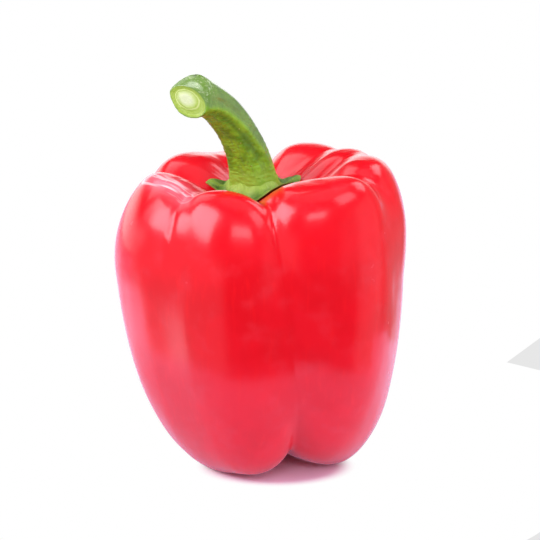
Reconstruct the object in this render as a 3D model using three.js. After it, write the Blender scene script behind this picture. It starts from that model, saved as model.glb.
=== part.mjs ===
// A red bell pepper as picked: the fruit, the green calyx in its crown and the bent, cut stem.
// Millimetres, +Z up, the front towards -Y. The fruit stands on its own feet at z = 0.
// Each piece is a three.js sphere or cylinder whose vertices are moved onto a formula's surface.
import * as THREE from "three";
import { mergeVertices } from "three/addons/utils/BufferGeometryUtils.js";

// ---------------------------------------------------------------- driving dimensions

// The fruit is four carpels, each of two ridges. A ridge is a tall rounded body that reaches out
// from the fruit's axis. Azimuth 0 faces the front and grows to the right, in degrees.
// Heights: crown, belly (the widest place) and foot. Reaches: from the fruit's axis to the
// ridge's own axis at those three heights. Depth is its half size away from the axis (at the
// belly and at the crown) and width its half size along the skin, less by the share `narrowing`
// at the foot. Twist is the degrees that its foot lies round from its crown, turn the degrees
// that its section faces away from its azimuth, slant the rise of its crown for each millimetre
// to its own right, and rounding the superellipse exponent of its shoulder.
const USUAL_RIDGE = {
  belly: 50,
  depth: 19,
  crownDepth: 12.5,
  narrowing: 0,
  twist: 0,
  turn: 0,
  slant: 0,
  rounding: 2.9,
};
const FOOT_ROUNDING = 2.4; // the exponent of every ridge below its belly
const FARTHEST_RISE = 1.2; // a ridge's axis runs straight on beyond this many half lengths

const CARPELS = [
  [
    ridge({ azimuth: -21.6, crown: 84.2, crownReach: 23.5, crownDepth: 9.9, belly: 48.5,
      bellyReach: 21.9, foot: 1, footReach: 20.5, depth: 16.3, width: 20.4, twist: 0.6, turn: 0.8,
      rounding: 2.4 }),
    ridge({ azimuth: -74.6, crown: 84.5, crownReach: 25.4, crownDepth: 9.4, belly: 54,
      bellyReach: 23.8, foot: 1.6, footReach: 19, depth: 18, width: 17.5, twist: 0.8, turn: 7.8,
      slant: -0.05 }),
  ],
  [
    ridge({ azimuth: -128, crown: 85.2, crownReach: 23.5, belly: 52, bellyReach: 21.5, foot: 3.6,
      footReach: 16, depth: 18, width: 16 }),
    ridge({ azimuth: -163, crown: 83.4, crownReach: 24.5, bellyReach: 21, foot: 5.6, footReach: 16,
      width: 14 }),
  ],
  [
    ridge({ azimuth: 141, crown: 86.2, crownReach: 27, bellyReach: 21, foot: 3.2, footReach: 17,
      width: 18 }),
    ridge({ azimuth: 108, crown: 88, crownReach: 27.5, bellyReach: 23, foot: 4.6, footReach: 18,
      depth: 17, width: 13 }),
  ],
  [
    ridge({ azimuth: 84, crown: 88.8, crownReach: 31, crownDepth: 11, belly: 55, bellyReach: 24.7,
      foot: 5, footReach: 21, depth: 16, width: 16 }),
    ridge({ azimuth: 41, crown: 86.7, crownReach: 26.7, crownDepth: 12.8, belly: 45,
      bellyReach: 22.4, foot: 1.6, footReach: 18, depth: 18.8, width: 20, narrowing: 0.13,
      twist: 7.6, turn: -31, slant: 0.17, rounding: 3.5 }),
  ],
];

const FRUIT_HEIGHT = 88; // the height over which the whole fruit leans
const LEAN = 5; // how far the crown stands to the left of the feet

// The rounding of the grooves between carpels, and of those between a carpel's two ridges, with
// the heights between which they sharpen towards the crown; both change towards the feet alike.
const CARPEL_FILLET = { middle: 6, crown: 1.5, foot: 1.5, crownZone: [54, 74] };
const RIDGE_FILLET = { middle: 6.9, crown: 1.7, foot: 8, crownZone: [69, 87.5] };
const FOOT_ZONE = [30, 6];

// The core that fills the fruit between its ridges: its ends are the floor of the crown's hollow
// and the roof of the hollow between the feet.
const CORE = { radius: 15.5, flare: 0.12, low: 9, high: 77, fillet: 9, squareness: 4 };

const SIGHT = 45; // every point of the skin is seen from this height on the fruit's axis
const FARTHEST = 75; // and is nearer to it than this
const OVER_CROWN = 110; // a height clear above the whole fruit
const HALVINGS = 30; // how often a search halves its range
const WELD = 1e-5; // vertices of a unit sphere or cylinder nearer than this are one
const FRUIT_GRID = { around: 72, down: 42, crowding: 0.1 };

// The calyx: a thick seat for the stem in the middle, and a thin scalloped edge on the fruit.
const CALYX = {
  x: -2.8,
  y: 0.4,
  reach: 7.3,
  blade: 1.1,
  seatRadius: 6.9,
  flareRadius: 9.2,
  flareForward: 1.2, // how much farther the seat's flare runs at the front, and less behind
  seatHeight: 80.4,
  gap: 0.45,
  curlFrom: 0.6, // the share of its reach beyond which a sepal's tip curls up
};
const SEPALS = [
  { azimuth: -88, reach: 6.3, spread: 12, curl: 1.9 },
  { azimuth: -44, reach: 4.9, spread: 20, curl: 0.2 },
  { azimuth: 6, reach: 6.1, spread: 21, curl: 0 },
  { azimuth: 54, reach: 5.6, spread: 20, curl: 0.2 },
  { azimuth: 106, reach: 5.6, spread: 24, curl: 0.1 },
  { azimuth: 150, reach: 4, spread: 16, curl: 0.4 },
];
const CALYX_GRID = { around: 60, down: 16 };

// The stem: a bent, tapering stalk, cut off at a slant and worn round on the cut's top side.
const STEM_ROUTE = [
  [-2.8, 0.4, 81],
  [-4, 0, 87],
  [-6, -1.3, 93],
  [-9.2, -3.8, 99.6],
  [-14, -8.4, 106],
  [-21, -16, 110],
];
const STEM_RADII = [6.9, 5.9, 5.3, 5, 4.9, 6.4]; // at even steps along the route
const END_RADIUS = STEM_RADII[STEM_RADII.length - 1];
const STEM_EDGES = { count: 5, height: 0.045, turn: 20, fade: 0.6 }; // the stalk's soft edges
const FOOT_SHARE = 0.3; // the share of the stem over which its sections tip over from level
const END_OVAL = { amount: 0.11, long: 138, from: 0.7 }; // the end is wider one way than the other
const CUT = {
  long: 5.6, // half the long way across the cut
  short: 3.7, // half the short way
  turn: 109, // how far the long way is turned round from the stem's upper side
  up: -1.7, // where the cut's middle is, up from the stem's middle line
  right: -0.75, // and to its right
  slant: 4.5, // how much farther back the cut lies on its right than on its left
};
const WORN_EDGE = { least: 0.3, length: 0.6, slope: 0.55 }; // longer where more is worn away
const STEM_GRID = { around: 30, along: 30 };

// ---------------------------------------------------------------- small mathematics

const radians = THREE.MathUtils.degToRad;

/** A ridge's sizes, with the usual ones where it gives none. */
function ridge(sizes) {
  return { ...USUAL_RIDGE, ...sizes };
}

/** An S-shaped step from 0 at `from` to 1 at `to`, which may be the lower of the two. */
function ease(value, from, to) {
  const t = THREE.MathUtils.clamp((value - from) / (to - from), 0, 1);
  return t * t * (3 - 2 * t);
}

/** The lesser of two distances, rounded over `fillet` where they are alike. */
function softMin(a, b, fillet) {
  const h = THREE.MathUtils.clamp(0.5 + (0.5 * (b - a)) / fillet, 0, 1);
  return THREE.MathUtils.lerp(b, a, h) - fillet * h * (1 - h);
}

/** A fillet at a height, from its sizes in the middle, at the crown and at the foot. */
function filletAt(fillet, z) {
  const crown = ease(z, ...fillet.crownZone);
  const foot = ease(z, ...FOOT_ZONE);
  return (
    fillet.middle + (fillet.crown - fillet.middle) * crown + (fillet.foot - fillet.middle) * foot
  );
}

/** The smallest angle between two directions, in degrees. */
function angleBetween(a, b) {
  const turn = THREE.MathUtils.euclideanModulo(a - b, 360);
  return Math.min(turn, 360 - turn);
}

// ---------------------------------------------------------------- the fruit's surface

/** About how far a point lies outside one ridge, and below 0 inside it. */
function outsideRidge(r, x, y, z) {
  const above = z > r.belly;
  const rise = THREE.MathUtils.clamp(
    (z - r.belly) / (above ? r.crown - r.belly : r.belly - r.foot),
    -FARTHEST_RISE,
    FARTHEST_RISE,
  );
  const azimuth = radians(r.azimuth + (r.twist * (1 - rise)) / 2);
  const slope = (r.crownReach - r.footReach) / 2;
  const bend = (r.crownReach + r.footReach) / 2 - r.bellyReach;
  const reach = r.bellyReach + slope * rise + bend * rise * rise;
  const fromX = x - reach * Math.sin(azimuth);
  const fromY = y + reach * Math.cos(azimuth);
  const facing = azimuth + radians(r.turn);
  const out = fromX * Math.sin(facing) - fromY * Math.cos(facing);
  const side = fromX * Math.cos(facing) + fromY * Math.sin(facing);
  const depth = r.depth + (r.crownDepth - r.depth) * Math.max(rise, 0) ** 2;
  const width = r.width * (1 + r.narrowing * Math.min(rise, 0));
  const level = Math.hypot(out / depth, side / width);
  const power = above ? r.rounding : FOOT_ROUNDING;
  const span = above ? r.crown + r.slant * side - r.belly : r.belly - r.foot;
  const size = (level ** power + (Math.abs(z - r.belly) / span) ** power) ** (1 / power);
  return (size - 1) * Math.min(r.depth, r.width);
}

/** About how far a point lies outside the core. */
function outsideCore(x, y, z) {
  const half = (CORE.high - CORE.low) / 2;
  const rise = (z - (CORE.high + CORE.low) / 2) / half;
  const radius = CORE.radius * (1 + CORE.flare * THREE.MathUtils.clamp(rise, -1, 1));
  const p = CORE.squareness;
  const size = ((Math.hypot(x, y) / radius) ** p + Math.abs(rise) ** p) ** (1 / p);
  return (size - 1) * CORE.radius;
}

/** About how far a point lies outside the fruit, and below 0 inside it. */
function outsideFruit(x, y, z) {
  const upright = x - LEAN * (0.5 - z / FRUIT_HEIGHT);
  const inCarpel = filletAt(RIDGE_FILLET, z);
  const between = filletAt(CARPEL_FILLET, z);
  const carpels = CARPELS.map(([first, second]) =>
    softMin(outsideRidge(first, upright, y, z), outsideRidge(second, upright, y, z), inCarpel),
  );
  const ridges = carpels.reduce((nearest, carpel) => softMin(nearest, carpel, between));
  return softMin(ridges, outsideCore(upright, y, z), CORE.fillet);
}

/** Where a function of one value turns from below 0 at `low` to above 0 at `high`. */
function crossing(outside, low, high) {
  for (let step = 0; step < HALVINGS; step += 1) {
    const middle = (low + high) / 2;
    if (outside(middle) < 0) low = middle;
    else high = middle;
  }
  return (low + high) / 2;
}

/** The skin's point in a direction from the fruit's sight point, with the feet worn flat. */
function skinPoint(direction) {
  const reach = crossing(
    (r) => outsideFruit(direction.x * r, direction.y * r, SIGHT + direction.z * r),
    0,
    FARTHEST,
  );
  const point = direction.clone().multiplyScalar(reach);
  point.z = Math.max(point.z + SIGHT, 0);
  return point;
}

/** The height of the crown's hollow over a point of the ground. */
function hollowHeight(x, y) {
  return crossing((z) => outsideFruit(x, y, z), SIGHT, OVER_CROWN);
}

// ---------------------------------------------------------------- building

/** A three.js geometry as one closed skin, each vertex moved to where `place` puts it. */
function reshape(geometry, place) {
  geometry.deleteAttribute("normal");
  geometry.deleteAttribute("uv");
  const skin = mergeVertices(geometry, WELD);
  const vertices = skin.attributes.position;
  const vertex = new THREE.Vector3();
  for (let i = 0; i < vertices.count; i += 1) {
    vertices.setXYZ(i, ...place(vertex.fromBufferAttribute(vertices, i)).toArray());
  }
  skin.computeVertexNormals();
  return skin;
}

/** A unit sphere with its poles on the Z axis. */
function sphere({ around, down }) {
  return new THREE.SphereGeometry(1, around, down).rotateX(Math.PI / 2);
}

/** A named mesh with its own material. */
function piece(name, geometry, color, roughness) {
  const material = new THREE.MeshStandardMaterial({ color, roughness, metalness: 0 });
  const mesh = new THREE.Mesh(geometry, material);
  mesh.name = name;
  return mesh;
}

/** The red fruit, with its rows of faces crowded towards the crown and the feet. */
function fruit() {
  const geometry = reshape(sphere(FRUIT_GRID), (unit) => {
    const around = Math.atan2(unit.y, unit.x);
    const down = Math.acos(THREE.MathUtils.clamp(unit.z, -1, 1)) / Math.PI;
    const polar = Math.PI * (down - FRUIT_GRID.crowding * Math.sin(2 * Math.PI * down));
    const ring = Math.sin(polar);
    return skinPoint(new THREE.Vector3(ring * Math.cos(around), ring * Math.sin(around), Math.cos(polar)));
  });
  return piece("fruit", geometry, 0xd80f1e, 0.22);
}

/** The calyx: a flattened sphere that lies on the hollow's floor and thickens to the seat. */
function calyx() {
  const geometry = reshape(sphere(CALYX_GRID), (unit) => {
    const share = Math.min(Math.hypot(unit.x, unit.y), 1);
    const around = Math.atan2(unit.y, unit.x);
    const azimuth = 90 + THREE.MathUtils.radToDeg(around);
    let reach = CALYX.reach;
    let curl = 0;
    for (const sepal of SEPALS) {
      const tip = Math.exp(-((angleBetween(azimuth, sepal.azimuth) / sepal.spread) ** 2));
      reach += sepal.reach * tip;
      curl += sepal.curl * tip;
    }
    const radius = reach * share;
    const x = CALYX.x + radius * Math.cos(around);
    const y = CALYX.y + radius * Math.sin(around);
    const under = hollowHeight(x, y) + CALYX.gap + curl * ease(share, CALYX.curlFrom, 1);
    const flare = CALYX.flareRadius + CALYX.flareForward * Math.cos(radians(azimuth));
    const seat = 1 - ease(radius, CALYX.seatRadius, flare);
    const over = THREE.MathUtils.lerp(under + CALYX.blade, CALYX.seatHeight, seat);
    return new THREE.Vector3(x, y, THREE.MathUtils.lerp(under, over, (1 + unit.z) / 2));
  });
  return piece("calyx", geometry, 0x6f9a2c, 0.55);
}

/** The stem's radius at a share of its length. */
function stemRadius(share) {
  const place = share * (STEM_RADII.length - 1);
  const before = Math.min(Math.floor(place), STEM_RADII.length - 2);
  return THREE.MathUtils.lerp(STEM_RADII[before], STEM_RADII[before + 1], place - before);
}

/** How far the cut's edge is from the stem's middle line, at an angle round it. */
function cutRadius(angle) {
  const turn = radians(CUT.turn);
  const way = new THREE.Vector2(Math.cos(angle - turn) / CUT.long, Math.sin(angle - turn) / CUT.short);
  const start = new THREE.Vector2(
    -(CUT.up * Math.cos(turn) + CUT.right * Math.sin(turn)) / CUT.long,
    (CUT.up * Math.sin(turn) - CUT.right * Math.cos(turn)) / CUT.short,
  );
  const square = way.lengthSq();
  const cross = way.dot(start);
  return (Math.sqrt(cross ** 2 - square * (start.lengthSq() - 1)) - cross) / square;
}

/** The stem: a cylinder bent along its route. */
function stem() {
  const route = new THREE.CatmullRomCurve3(STEM_ROUTE.map((point) => new THREE.Vector3(...point)));
  const length = route.getLength();
  const up = new THREE.Vector3(0, 0, 1);
  const cylinder = new THREE.CylinderGeometry(1, 1, 1, STEM_GRID.around, STEM_GRID.along);
  const geometry = reshape(cylinder, (unit) => {
    const rim = Math.hypot(unit.x, unit.z);
    const angle = Math.atan2(unit.z, unit.x);
    const oval = END_OVAL.amount * Math.cos(2 * (angle - radians(END_OVAL.long)));
    const endRadius = END_RADIUS * (1 + oval);
    const edge = Math.min(cutRadius(angle), endRadius - WORN_EDGE.least);
    const cutBack = (CUT.slant * (1 + (edge * rim * Math.sin(angle)) / END_RADIUS)) / 2;
    const share = (unit.y + 0.5) * (1 - cutBack / length);
    const along = up.clone().lerp(route.getTangentAt(share), ease(share, 0, FOOT_SHARE)).normalize();
    const side = new THREE.Vector3(1, -1, 0).cross(along).normalize();
    const across = along.clone().cross(side).normalize();
    const wave = Math.cos(STEM_EDGES.count * (angle + radians(STEM_EDGES.turn)));
    const edges = STEM_EDGES.height * wave * (1 - ease(share, STEM_EDGES.fade, 1));
    const whole = stemRadius(share) * (1 + edges + oval * ease(share, END_OVAL.from, 1));
    const wornLength = WORN_EDGE.length + WORN_EDGE.slope * (endRadius - edge);
    const beforeCut = length * (1 - share) - cutBack;
    const intoEdge = THREE.MathUtils.clamp(1 - beforeCut / wornLength, 0, 1);
    const worn = 1 - Math.sqrt(1 - intoEdge ** 2);
    const radius = (whole + (edge - whole) * worn) * rim;
    const spoke = side.multiplyScalar(-Math.cos(angle)).addScaledVector(across, Math.sin(angle));
    return route.getPointAt(share).addScaledVector(spoke, radius);
  });
  return piece("stem", geometry, 0x7d8d28, 0.5);
}

/** The whole pepper, centred over the origin and standing on z = 0. */
function pepper() {
  const group = new THREE.Group();
  group.add(fruit(), calyx(), stem());
  const box = new THREE.Box3().setFromObject(group);
  const centre = box.getCenter(new THREE.Vector3());
  group.position.set(-centre.x, -centre.y, -box.min.z);
  return group;
}

export default pepper();
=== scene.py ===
"""The looks of a red bell pepper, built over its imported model.

The pepper is three grown pieces: the four-lobed fruit, the calyx in its crown and the
bent, cut stem. Each is worked out in millimetres from the same ridges, hollow and stem
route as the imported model, with the folds, ribs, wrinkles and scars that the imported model
leaves out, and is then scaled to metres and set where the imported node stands.
"""

import itertools
import logging
import math
from collections.abc import Callable
from dataclasses import dataclass, field
from enum import Enum

import bpy
import numpy as np
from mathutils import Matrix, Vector


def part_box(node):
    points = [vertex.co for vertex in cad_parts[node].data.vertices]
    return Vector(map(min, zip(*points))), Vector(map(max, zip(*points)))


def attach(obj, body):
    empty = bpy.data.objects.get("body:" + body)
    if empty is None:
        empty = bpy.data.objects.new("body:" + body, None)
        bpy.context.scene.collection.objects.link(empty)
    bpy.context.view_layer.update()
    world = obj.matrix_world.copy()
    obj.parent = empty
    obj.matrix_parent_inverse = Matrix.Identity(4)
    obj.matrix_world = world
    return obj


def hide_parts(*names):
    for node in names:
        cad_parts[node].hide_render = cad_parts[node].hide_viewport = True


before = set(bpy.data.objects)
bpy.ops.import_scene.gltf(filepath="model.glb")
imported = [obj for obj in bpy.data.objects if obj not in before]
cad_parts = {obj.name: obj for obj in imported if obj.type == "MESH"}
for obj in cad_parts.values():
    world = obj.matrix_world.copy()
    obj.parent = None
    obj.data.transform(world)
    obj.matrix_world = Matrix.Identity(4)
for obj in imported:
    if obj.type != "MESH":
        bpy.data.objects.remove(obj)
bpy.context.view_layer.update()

MM = 0.001  # metres in a millimetre
UP = np.array([0.0, 0.0, 1.0])
LAMP_WATTS = 4.0  # of each square metre of a lamp whose brightness is 1
BODY = "root"
Array = np.ndarray
PointsAt = Callable[[Array], tuple[Array, Array, Array]]
Colour = tuple[float, float, float, float]

log = logging.getLogger("bell_pepper")


# ------------------------------------------------------------------ small mathematics


def ease(value: Array, start: float, end: float) -> Array:
    """An S-shaped step.

    Args:
        value: what is stepped.
        start: where the step leaves 0.
        end: where it reaches 1; it may be the lower of the two.

    Returns:
        0 before the start, 1 past the end and a smooth rise between.
    """
    share = np.clip((value - start) / (end - start), 0.0, 1.0)
    return share * share * (3.0 - 2.0 * share)


def soft_min(first: Array, second: Array, fillet: Array) -> Array:
    """The lesser of two distances, rounded where they are alike.

    Args:
        first: one distance.
        second: the other.
        fillet: the range of differences that is rounded.

    Returns:
        The rounded lesser distance.
    """
    share = np.clip(0.5 + 0.5 * (second - first) / fillet, 0.0, 1.0)
    return second + (first - second) * share - fillet * share * (1.0 - share)


def hump(value: Array, half: float) -> Array:
    """A bell-shaped hump, 1 at 0 and gone at about twice its half width."""
    return np.exp(-((value / half) ** 2))


def unit(vectors: Array) -> Array:
    """Vectors of the same directions, of length 1."""
    return vectors / np.linalg.norm(vectors, axis=-1, keepdims=True)


def cubic(first: Array, last: Array, leave: Array, arrive: Array, share: Array) -> Array:
    """Places on a cubic curve.

    Args:
        first: where it starts.
        last: where it ends.
        leave: its speed at its start.
        arrive: its speed at its end.
        share: how far along it the places are, from 0 to 1.

    Returns:
        The curve's place for each share.
    """
    square, cube = share**2, share**3
    start = (2 * cube - 3 * square + 1) * first + (cube - 2 * square + share) * leave
    return start + (3 * square - 2 * cube) * last + (cube - square) * arrive


def turn_between(first: Array, second: float) -> Array:
    """The signed angle from the second direction to the first, in degrees."""
    return (first - second + 180.0) % 360.0 - 180.0


def srgb(red: int, green: int, blue: int) -> Colour:
    """A colour for a shader.

    Args:
        red: 0 to 255, as on a screen.
        green: likewise.
        blue: likewise.

    Returns:
        The linear colour, with full alpha.
    """
    linear = []
    for part in (red / 255, green / 255, blue / 255):
        linear.append(part / 12.92 if part <= 0.04045 else ((part + 0.055) / 1.055) ** 2.4)
    return (linear[0], linear[1], linear[2], 1.0)


@dataclass(frozen=True)
class Lumps:
    """Smooth random relief, the same on every run: a lump's size each way, and its height."""

    size: tuple[float, float, float]
    seed: int
    height: float = 1.0
    cells: int = 32

    def at(self, points: Array) -> Array:
        """The relief at some points.

        Args:
            points: places, in the unit of the lumps' size, the last axis being x, y, z.

        Returns:
            For each point a height, as much below 0 as above it.
        """
        table = np.random.default_rng(self.seed).uniform(-1.0, 1.0, (self.cells,) * 3)
        place = points / np.array(self.size)
        cell = np.floor(place).astype(int)
        share = ease(place - cell, 0.0, 1.0)
        total = np.zeros(points.shape[:-1])
        for corner in itertools.product((0, 1), repeat=3):
            near = (cell + corner) % self.cells
            weight = np.prod(np.where(corner, share, 1.0 - share), axis=-1)
            total += weight * table[near[..., 0], near[..., 1], near[..., 2]]
        return self.height * total


# ------------------------------------------------------------------ meshes


@dataclass
class Skin:
    """A closed skin: rings of points from a point at one end to a point at the other."""

    first: Array
    rings: Array
    last: Array

    def points(self) -> Array:
        """All its points in the order of the mesh's vertices."""
        return np.vstack([self.first[None], self.rings.reshape(-1, 3), self.last[None]])

    def faces(self) -> list[tuple[int, ...]]:
        """The corners of each face.

        Returns:
            Triangles round the two end points and four-sided faces between the rings,
            all facing out where the rings run anticlockwise as seen from the first end.
        """
        rows, around = self.rings.shape[:2]
        index = 1 + np.arange(rows * around).reshape(rows, around)
        after = np.roll(index, -1, axis=1)
        quads = np.stack([index[:-1], index[1:], after[1:], after[:-1]], axis=-1)
        last = rows * around + 1
        top = [(0, int(a), int(b)) for a, b in zip(index[0], after[0])]
        bottom = [(int(a), last, int(b)) for a, b in zip(index[-1], after[-1])]
        return top + [tuple(q) for q in quads.reshape(-1, 4).tolist()] + bottom

    def normals(self) -> Array:
        """The outward direction at each point of the rings.

        Returns:
            One unit vector for each point, in the shape of the rings.
        """
        above = np.concatenate([self.rings[:1], self.rings[:-1]])
        below = np.concatenate([self.rings[1:], self.rings[-1:]])
        along = below - above
        around = np.roll(self.rings, -1, axis=1) - np.roll(self.rings, 1, axis=1)
        out = np.cross(along, around)
        return out / np.maximum(np.linalg.norm(out, axis=-1, keepdims=True), 1e-9)

    def moved(self, offset: Array) -> "Skin":
        """The same skin, moved by an offset."""
        return Skin(self.first + offset, self.rings + offset, self.last + offset)

    def raised(self, heights: Array) -> "Skin":
        """The skin with its rings moved outwards by some heights.

        Args:
            heights: how far each point of the rings moves, in millimetres.

        Returns:
            A new skin with the same end points.
        """
        return Skin(self.first, self.rings + heights[..., None] * self.normals(), self.last)


def make_piece(name: str, skin: Skin, marks: dict[str, Array]) -> bpy.types.Object:
    """A smooth mesh object in metres.

    Args:
        name: the object's name.
        skin: its points, in millimetres.
        marks: values on the rings' points, by name: one number or three for each point.

    Returns:
        The object, linked to the scene.
    """
    mesh = bpy.data.meshes.new(name)
    mesh.from_pydata((skin.points() * MM).tolist(), [], skin.faces())
    mesh.shade_smooth()
    for mark, values in marks.items():
        wide = values.ndim == 3
        flat = values.reshape(-1, 3) if wide else values.reshape(-1)
        padded = np.concatenate([flat[:1], flat, flat[-1:]])
        kind, slot = ("FLOAT_VECTOR", "vector") if wide else ("FLOAT", "value")
        layer = mesh.attributes.new(mark, kind, "POINT")
        layer.data.foreach_set(slot, padded.astype(np.float32).ravel())
    mesh.update()
    piece = bpy.data.objects.new(name, mesh)
    bpy.context.scene.collection.objects.link(piece)
    return piece


def stand_in(piece: bpy.types.Object, node: str) -> None:
    """Puts a piece on the pepper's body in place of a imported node.

    Args:
        piece: the finished piece.
        node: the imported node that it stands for.
    """
    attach(piece, BODY)
    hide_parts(node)


# ------------------------------------------------------------------ shader building


class Value:
    """One output of a shader node, which takes part in sums as a number does."""

    def __init__(self, sheet: "NodeSheet", socket: bpy.types.NodeSocket) -> None:
        """Wraps a socket of a sheet's tree."""
        self.sheet = sheet
        self.socket = socket

    def __add__(self, other: "Value | float") -> "Value":
        """This plus another."""
        return self.sheet.maths("ADD", self, other)

    def __radd__(self, other: float) -> "Value":
        """A number plus this."""
        return self.sheet.maths("ADD", other, self)

    def __sub__(self, other: "Value | float") -> "Value":
        """This less another."""
        return self.sheet.maths("SUBTRACT", self, other)

    def __rsub__(self, other: float) -> "Value":
        """A number less this."""
        return self.sheet.maths("SUBTRACT", other, self)

    def __mul__(self, other: "Value | float") -> "Value":
        """This times another."""
        return self.sheet.maths("MULTIPLY", self, other)

    def __rmul__(self, other: float) -> "Value":
        """A number times this."""
        return self.sheet.maths("MULTIPLY", other, self)

    def __truediv__(self, other: "Value | float") -> "Value":
        """This over another."""
        return self.sheet.maths("DIVIDE", self, other)

    def __pow__(self, other: float) -> "Value":
        """This raised to a power."""
        return self.sheet.maths("POWER", self, other)

    def at_least(self, other: "Value | float") -> "Value":
        """The greater of this and another."""
        return self.sheet.maths("MAXIMUM", self, other)

    def step(self, start: float, end: float) -> "Value":
        """An S-shaped step of this.

        Args:
            start: where the step leaves 0.
            end: where it reaches 1; it may be the lower of the two.

        Returns:
            A value between 0 and 1.
        """
        ranges = {"Value": self, "From Min": start, "From Max": end}
        return self.sheet.add("ShaderNodeMapRange", {"interpolation_type": "SMOOTHSTEP"}, ranges)


class NodeSheet:
    """The node tree of one material or of the world."""

    def __init__(self, tree: bpy.types.NodeTree) -> None:
        """Takes a tree over and empties it."""
        self.tree = tree
        tree.nodes.clear()

    def add(
        self,
        kind: str,
        settings: dict[str, object] | None = None,
        inputs: dict[str | int, object] | None = None,
        output: str | int = 0,
    ) -> Value:
        """A new node.

        Args:
            kind: the node's type.
            settings: its own settings by name; "stops" are a ramp's places and colours.
            inputs: a value or a link for each named or numbered socket.
            output: the socket that is wanted from it.

        Returns:
            The wanted output.
        """
        node = self.tree.nodes.new(kind)
        for name, setting in (settings or {}).items():
            if name == "stops":
                self._set_stops(node.color_ramp, setting)
            else:
                setattr(node, name, setting)
        for name, value in (inputs or {}).items():
            if isinstance(value, Value):
                self.tree.links.new(value.socket, node.inputs[name])
            else:
                node.inputs[name].default_value = value
        return Value(self, node.outputs[output]) if len(node.outputs) else Value(self, None)

    @staticmethod
    def _set_stops(ramp: bpy.types.ColorRamp, stops: list[tuple[float, Colour]]) -> None:
        """Gives a colour ramp its stops.

        Args:
            ramp: a new ramp, which has two stops.
            stops: each stop's place, from 0 up to 1, and its colour.
        """
        while len(ramp.elements) < len(stops):
            ramp.elements.new(1.0)
        for element, (place, colour) in zip(ramp.elements, stops):
            element.position, element.color = place, colour

    def maths(self, operation: str, *values: Value | float) -> Value:
        """A Math node on one to three values."""
        return self.add("ShaderNodeMath", {"operation": operation}, dict(enumerate(values)))

    def vectors(self, operation: str, *values: Value | tuple[float, ...]) -> Value:
        """A Vector Math node on one or two vectors."""
        return self.add("ShaderNodeVectorMath", {"operation": operation}, dict(enumerate(values)))

    def mix(self, share: Value | float, first: Value | Colour, second: Value | Colour) -> Value:
        """A mix of two colours.

        Args:
            share: how much of the second colour there is, from 0 to 1.
            first: one colour.
            second: the other.

        Returns:
            The mixed colour.
        """
        return self.add("ShaderNodeMix", {"data_type": "RGBA"}, {0: share, 6: first, 7: second}, 2)

    def mark(self, name: str, output: str = "Fac") -> Value:
        """A value that the mesh carries on its points."""
        return self.add("ShaderNodeAttribute", {"attribute_name": name}, {}, output)

    def place(self) -> Value:
        """The point's place on the piece, in metres."""
        return self.add("ShaderNodeTexCoord", {}, {}, "Object")

    def parts(self, vector: Value) -> tuple[Value, Value, Value]:
        """The x, y and z of a vector.

        Args:
            vector: what is taken apart.

        Returns:
            Its three parts.
        """
        split = self.add("ShaderNodeSeparateXYZ", {}, {0: vector})
        outputs = split.socket.node.outputs
        return Value(self, outputs[0]), Value(self, outputs[1]), Value(self, outputs[2])

    def away(
        self, place: Value, middle: tuple[float, float], half: tuple[float, float]
    ) -> Value:
        """How far places are from the middle of an oval on the ground.

        Args:
            place: the places, in metres.
            middle: the oval's middle, to the right and behind.
            half: its half sizes.

        Returns:
            A distance that is 1 on the oval.
        """
        x, y, _ = self.parts(place)
        right = (x - middle[0]) / half[0]
        back = (y - middle[1]) / half[1]
        return (right * right + back * back) ** 0.5

    def noise(self, place: Value, size: float, detail: float = 2.0, rough: float = 0.5) -> Value:
        """Cloudy noise.

        Args:
            place: where it is read, in metres.
            size: the width of its clouds, in millimetres.
            detail: how many finer layers it has.
            rough: how strong the finer layers are.

        Returns:
            A value of about 0.3 to 0.7, and 0.5 on average.
        """
        inputs = {"Vector": place, "Scale": 1 / (size * MM), "Detail": detail, "Roughness": rough}
        return self.add("ShaderNodeTexNoise", {}, inputs)

    def spots(self, place: Value, apart: float, radius: float, share: float) -> Value:
        """Small round spots scattered over a surface.

        Args:
            place: where they are read, in metres.
            apart: the usual distance between them, in millimetres.
            radius: a spot's radius, in millimetres.
            share: the share of the places that do have a spot.

        Returns:
            1 in the middle of a spot and 0 between the spots.
        """
        inputs = {"Vector": place, "Scale": 1 / (apart * MM)}
        distance = self.add("ShaderNodeTexVoronoi", {}, inputs, "Distance")
        shade = Value(self, distance.socket.node.outputs["Color"])
        chosen = self.parts(shade)[0].step(share + 0.02, share - 0.02)
        return distance.step(radius / apart, 0.3 * radius / apart) * chosen

    def bump(self, height: Value, depth: float, below: Value | None = None) -> Value:
        """A relief that only shading shows.

        Args:
            height: the relief, from 0 to 1.
            depth: how deep 1 is, in millimetres.
            below: the normal of a relief that lies under this one.

        Returns:
            The new normal.
        """
        inputs = {"Height": height, "Distance": depth * MM}
        if below is not None:
            inputs["Normal"] = below
        return self.add("ShaderNodeBump", {}, inputs)

    def surface(self, inputs: dict[str | int, object]) -> Value:
        """A Principled surface that is wired to the tree's output.

        Args:
            inputs: the values and links of its sockets.

        Returns:
            The shader.
        """
        shader = self.add("ShaderNodeBsdfPrincipled", {}, inputs)
        self.add("ShaderNodeOutputMaterial", {}, {"Surface": shader})
        return shader


def new_sheet(name: str) -> tuple[bpy.types.Material, NodeSheet]:
    """A new material and its node sheet.

    Args:
        name: the material's name.

    Returns:
        The material and the sheet on its emptied tree.
    """
    material = bpy.data.materials.new(name)
    material.use_nodes = True
    return material, NodeSheet(material.node_tree)


# ------------------------------------------------------------------ finishes


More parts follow.
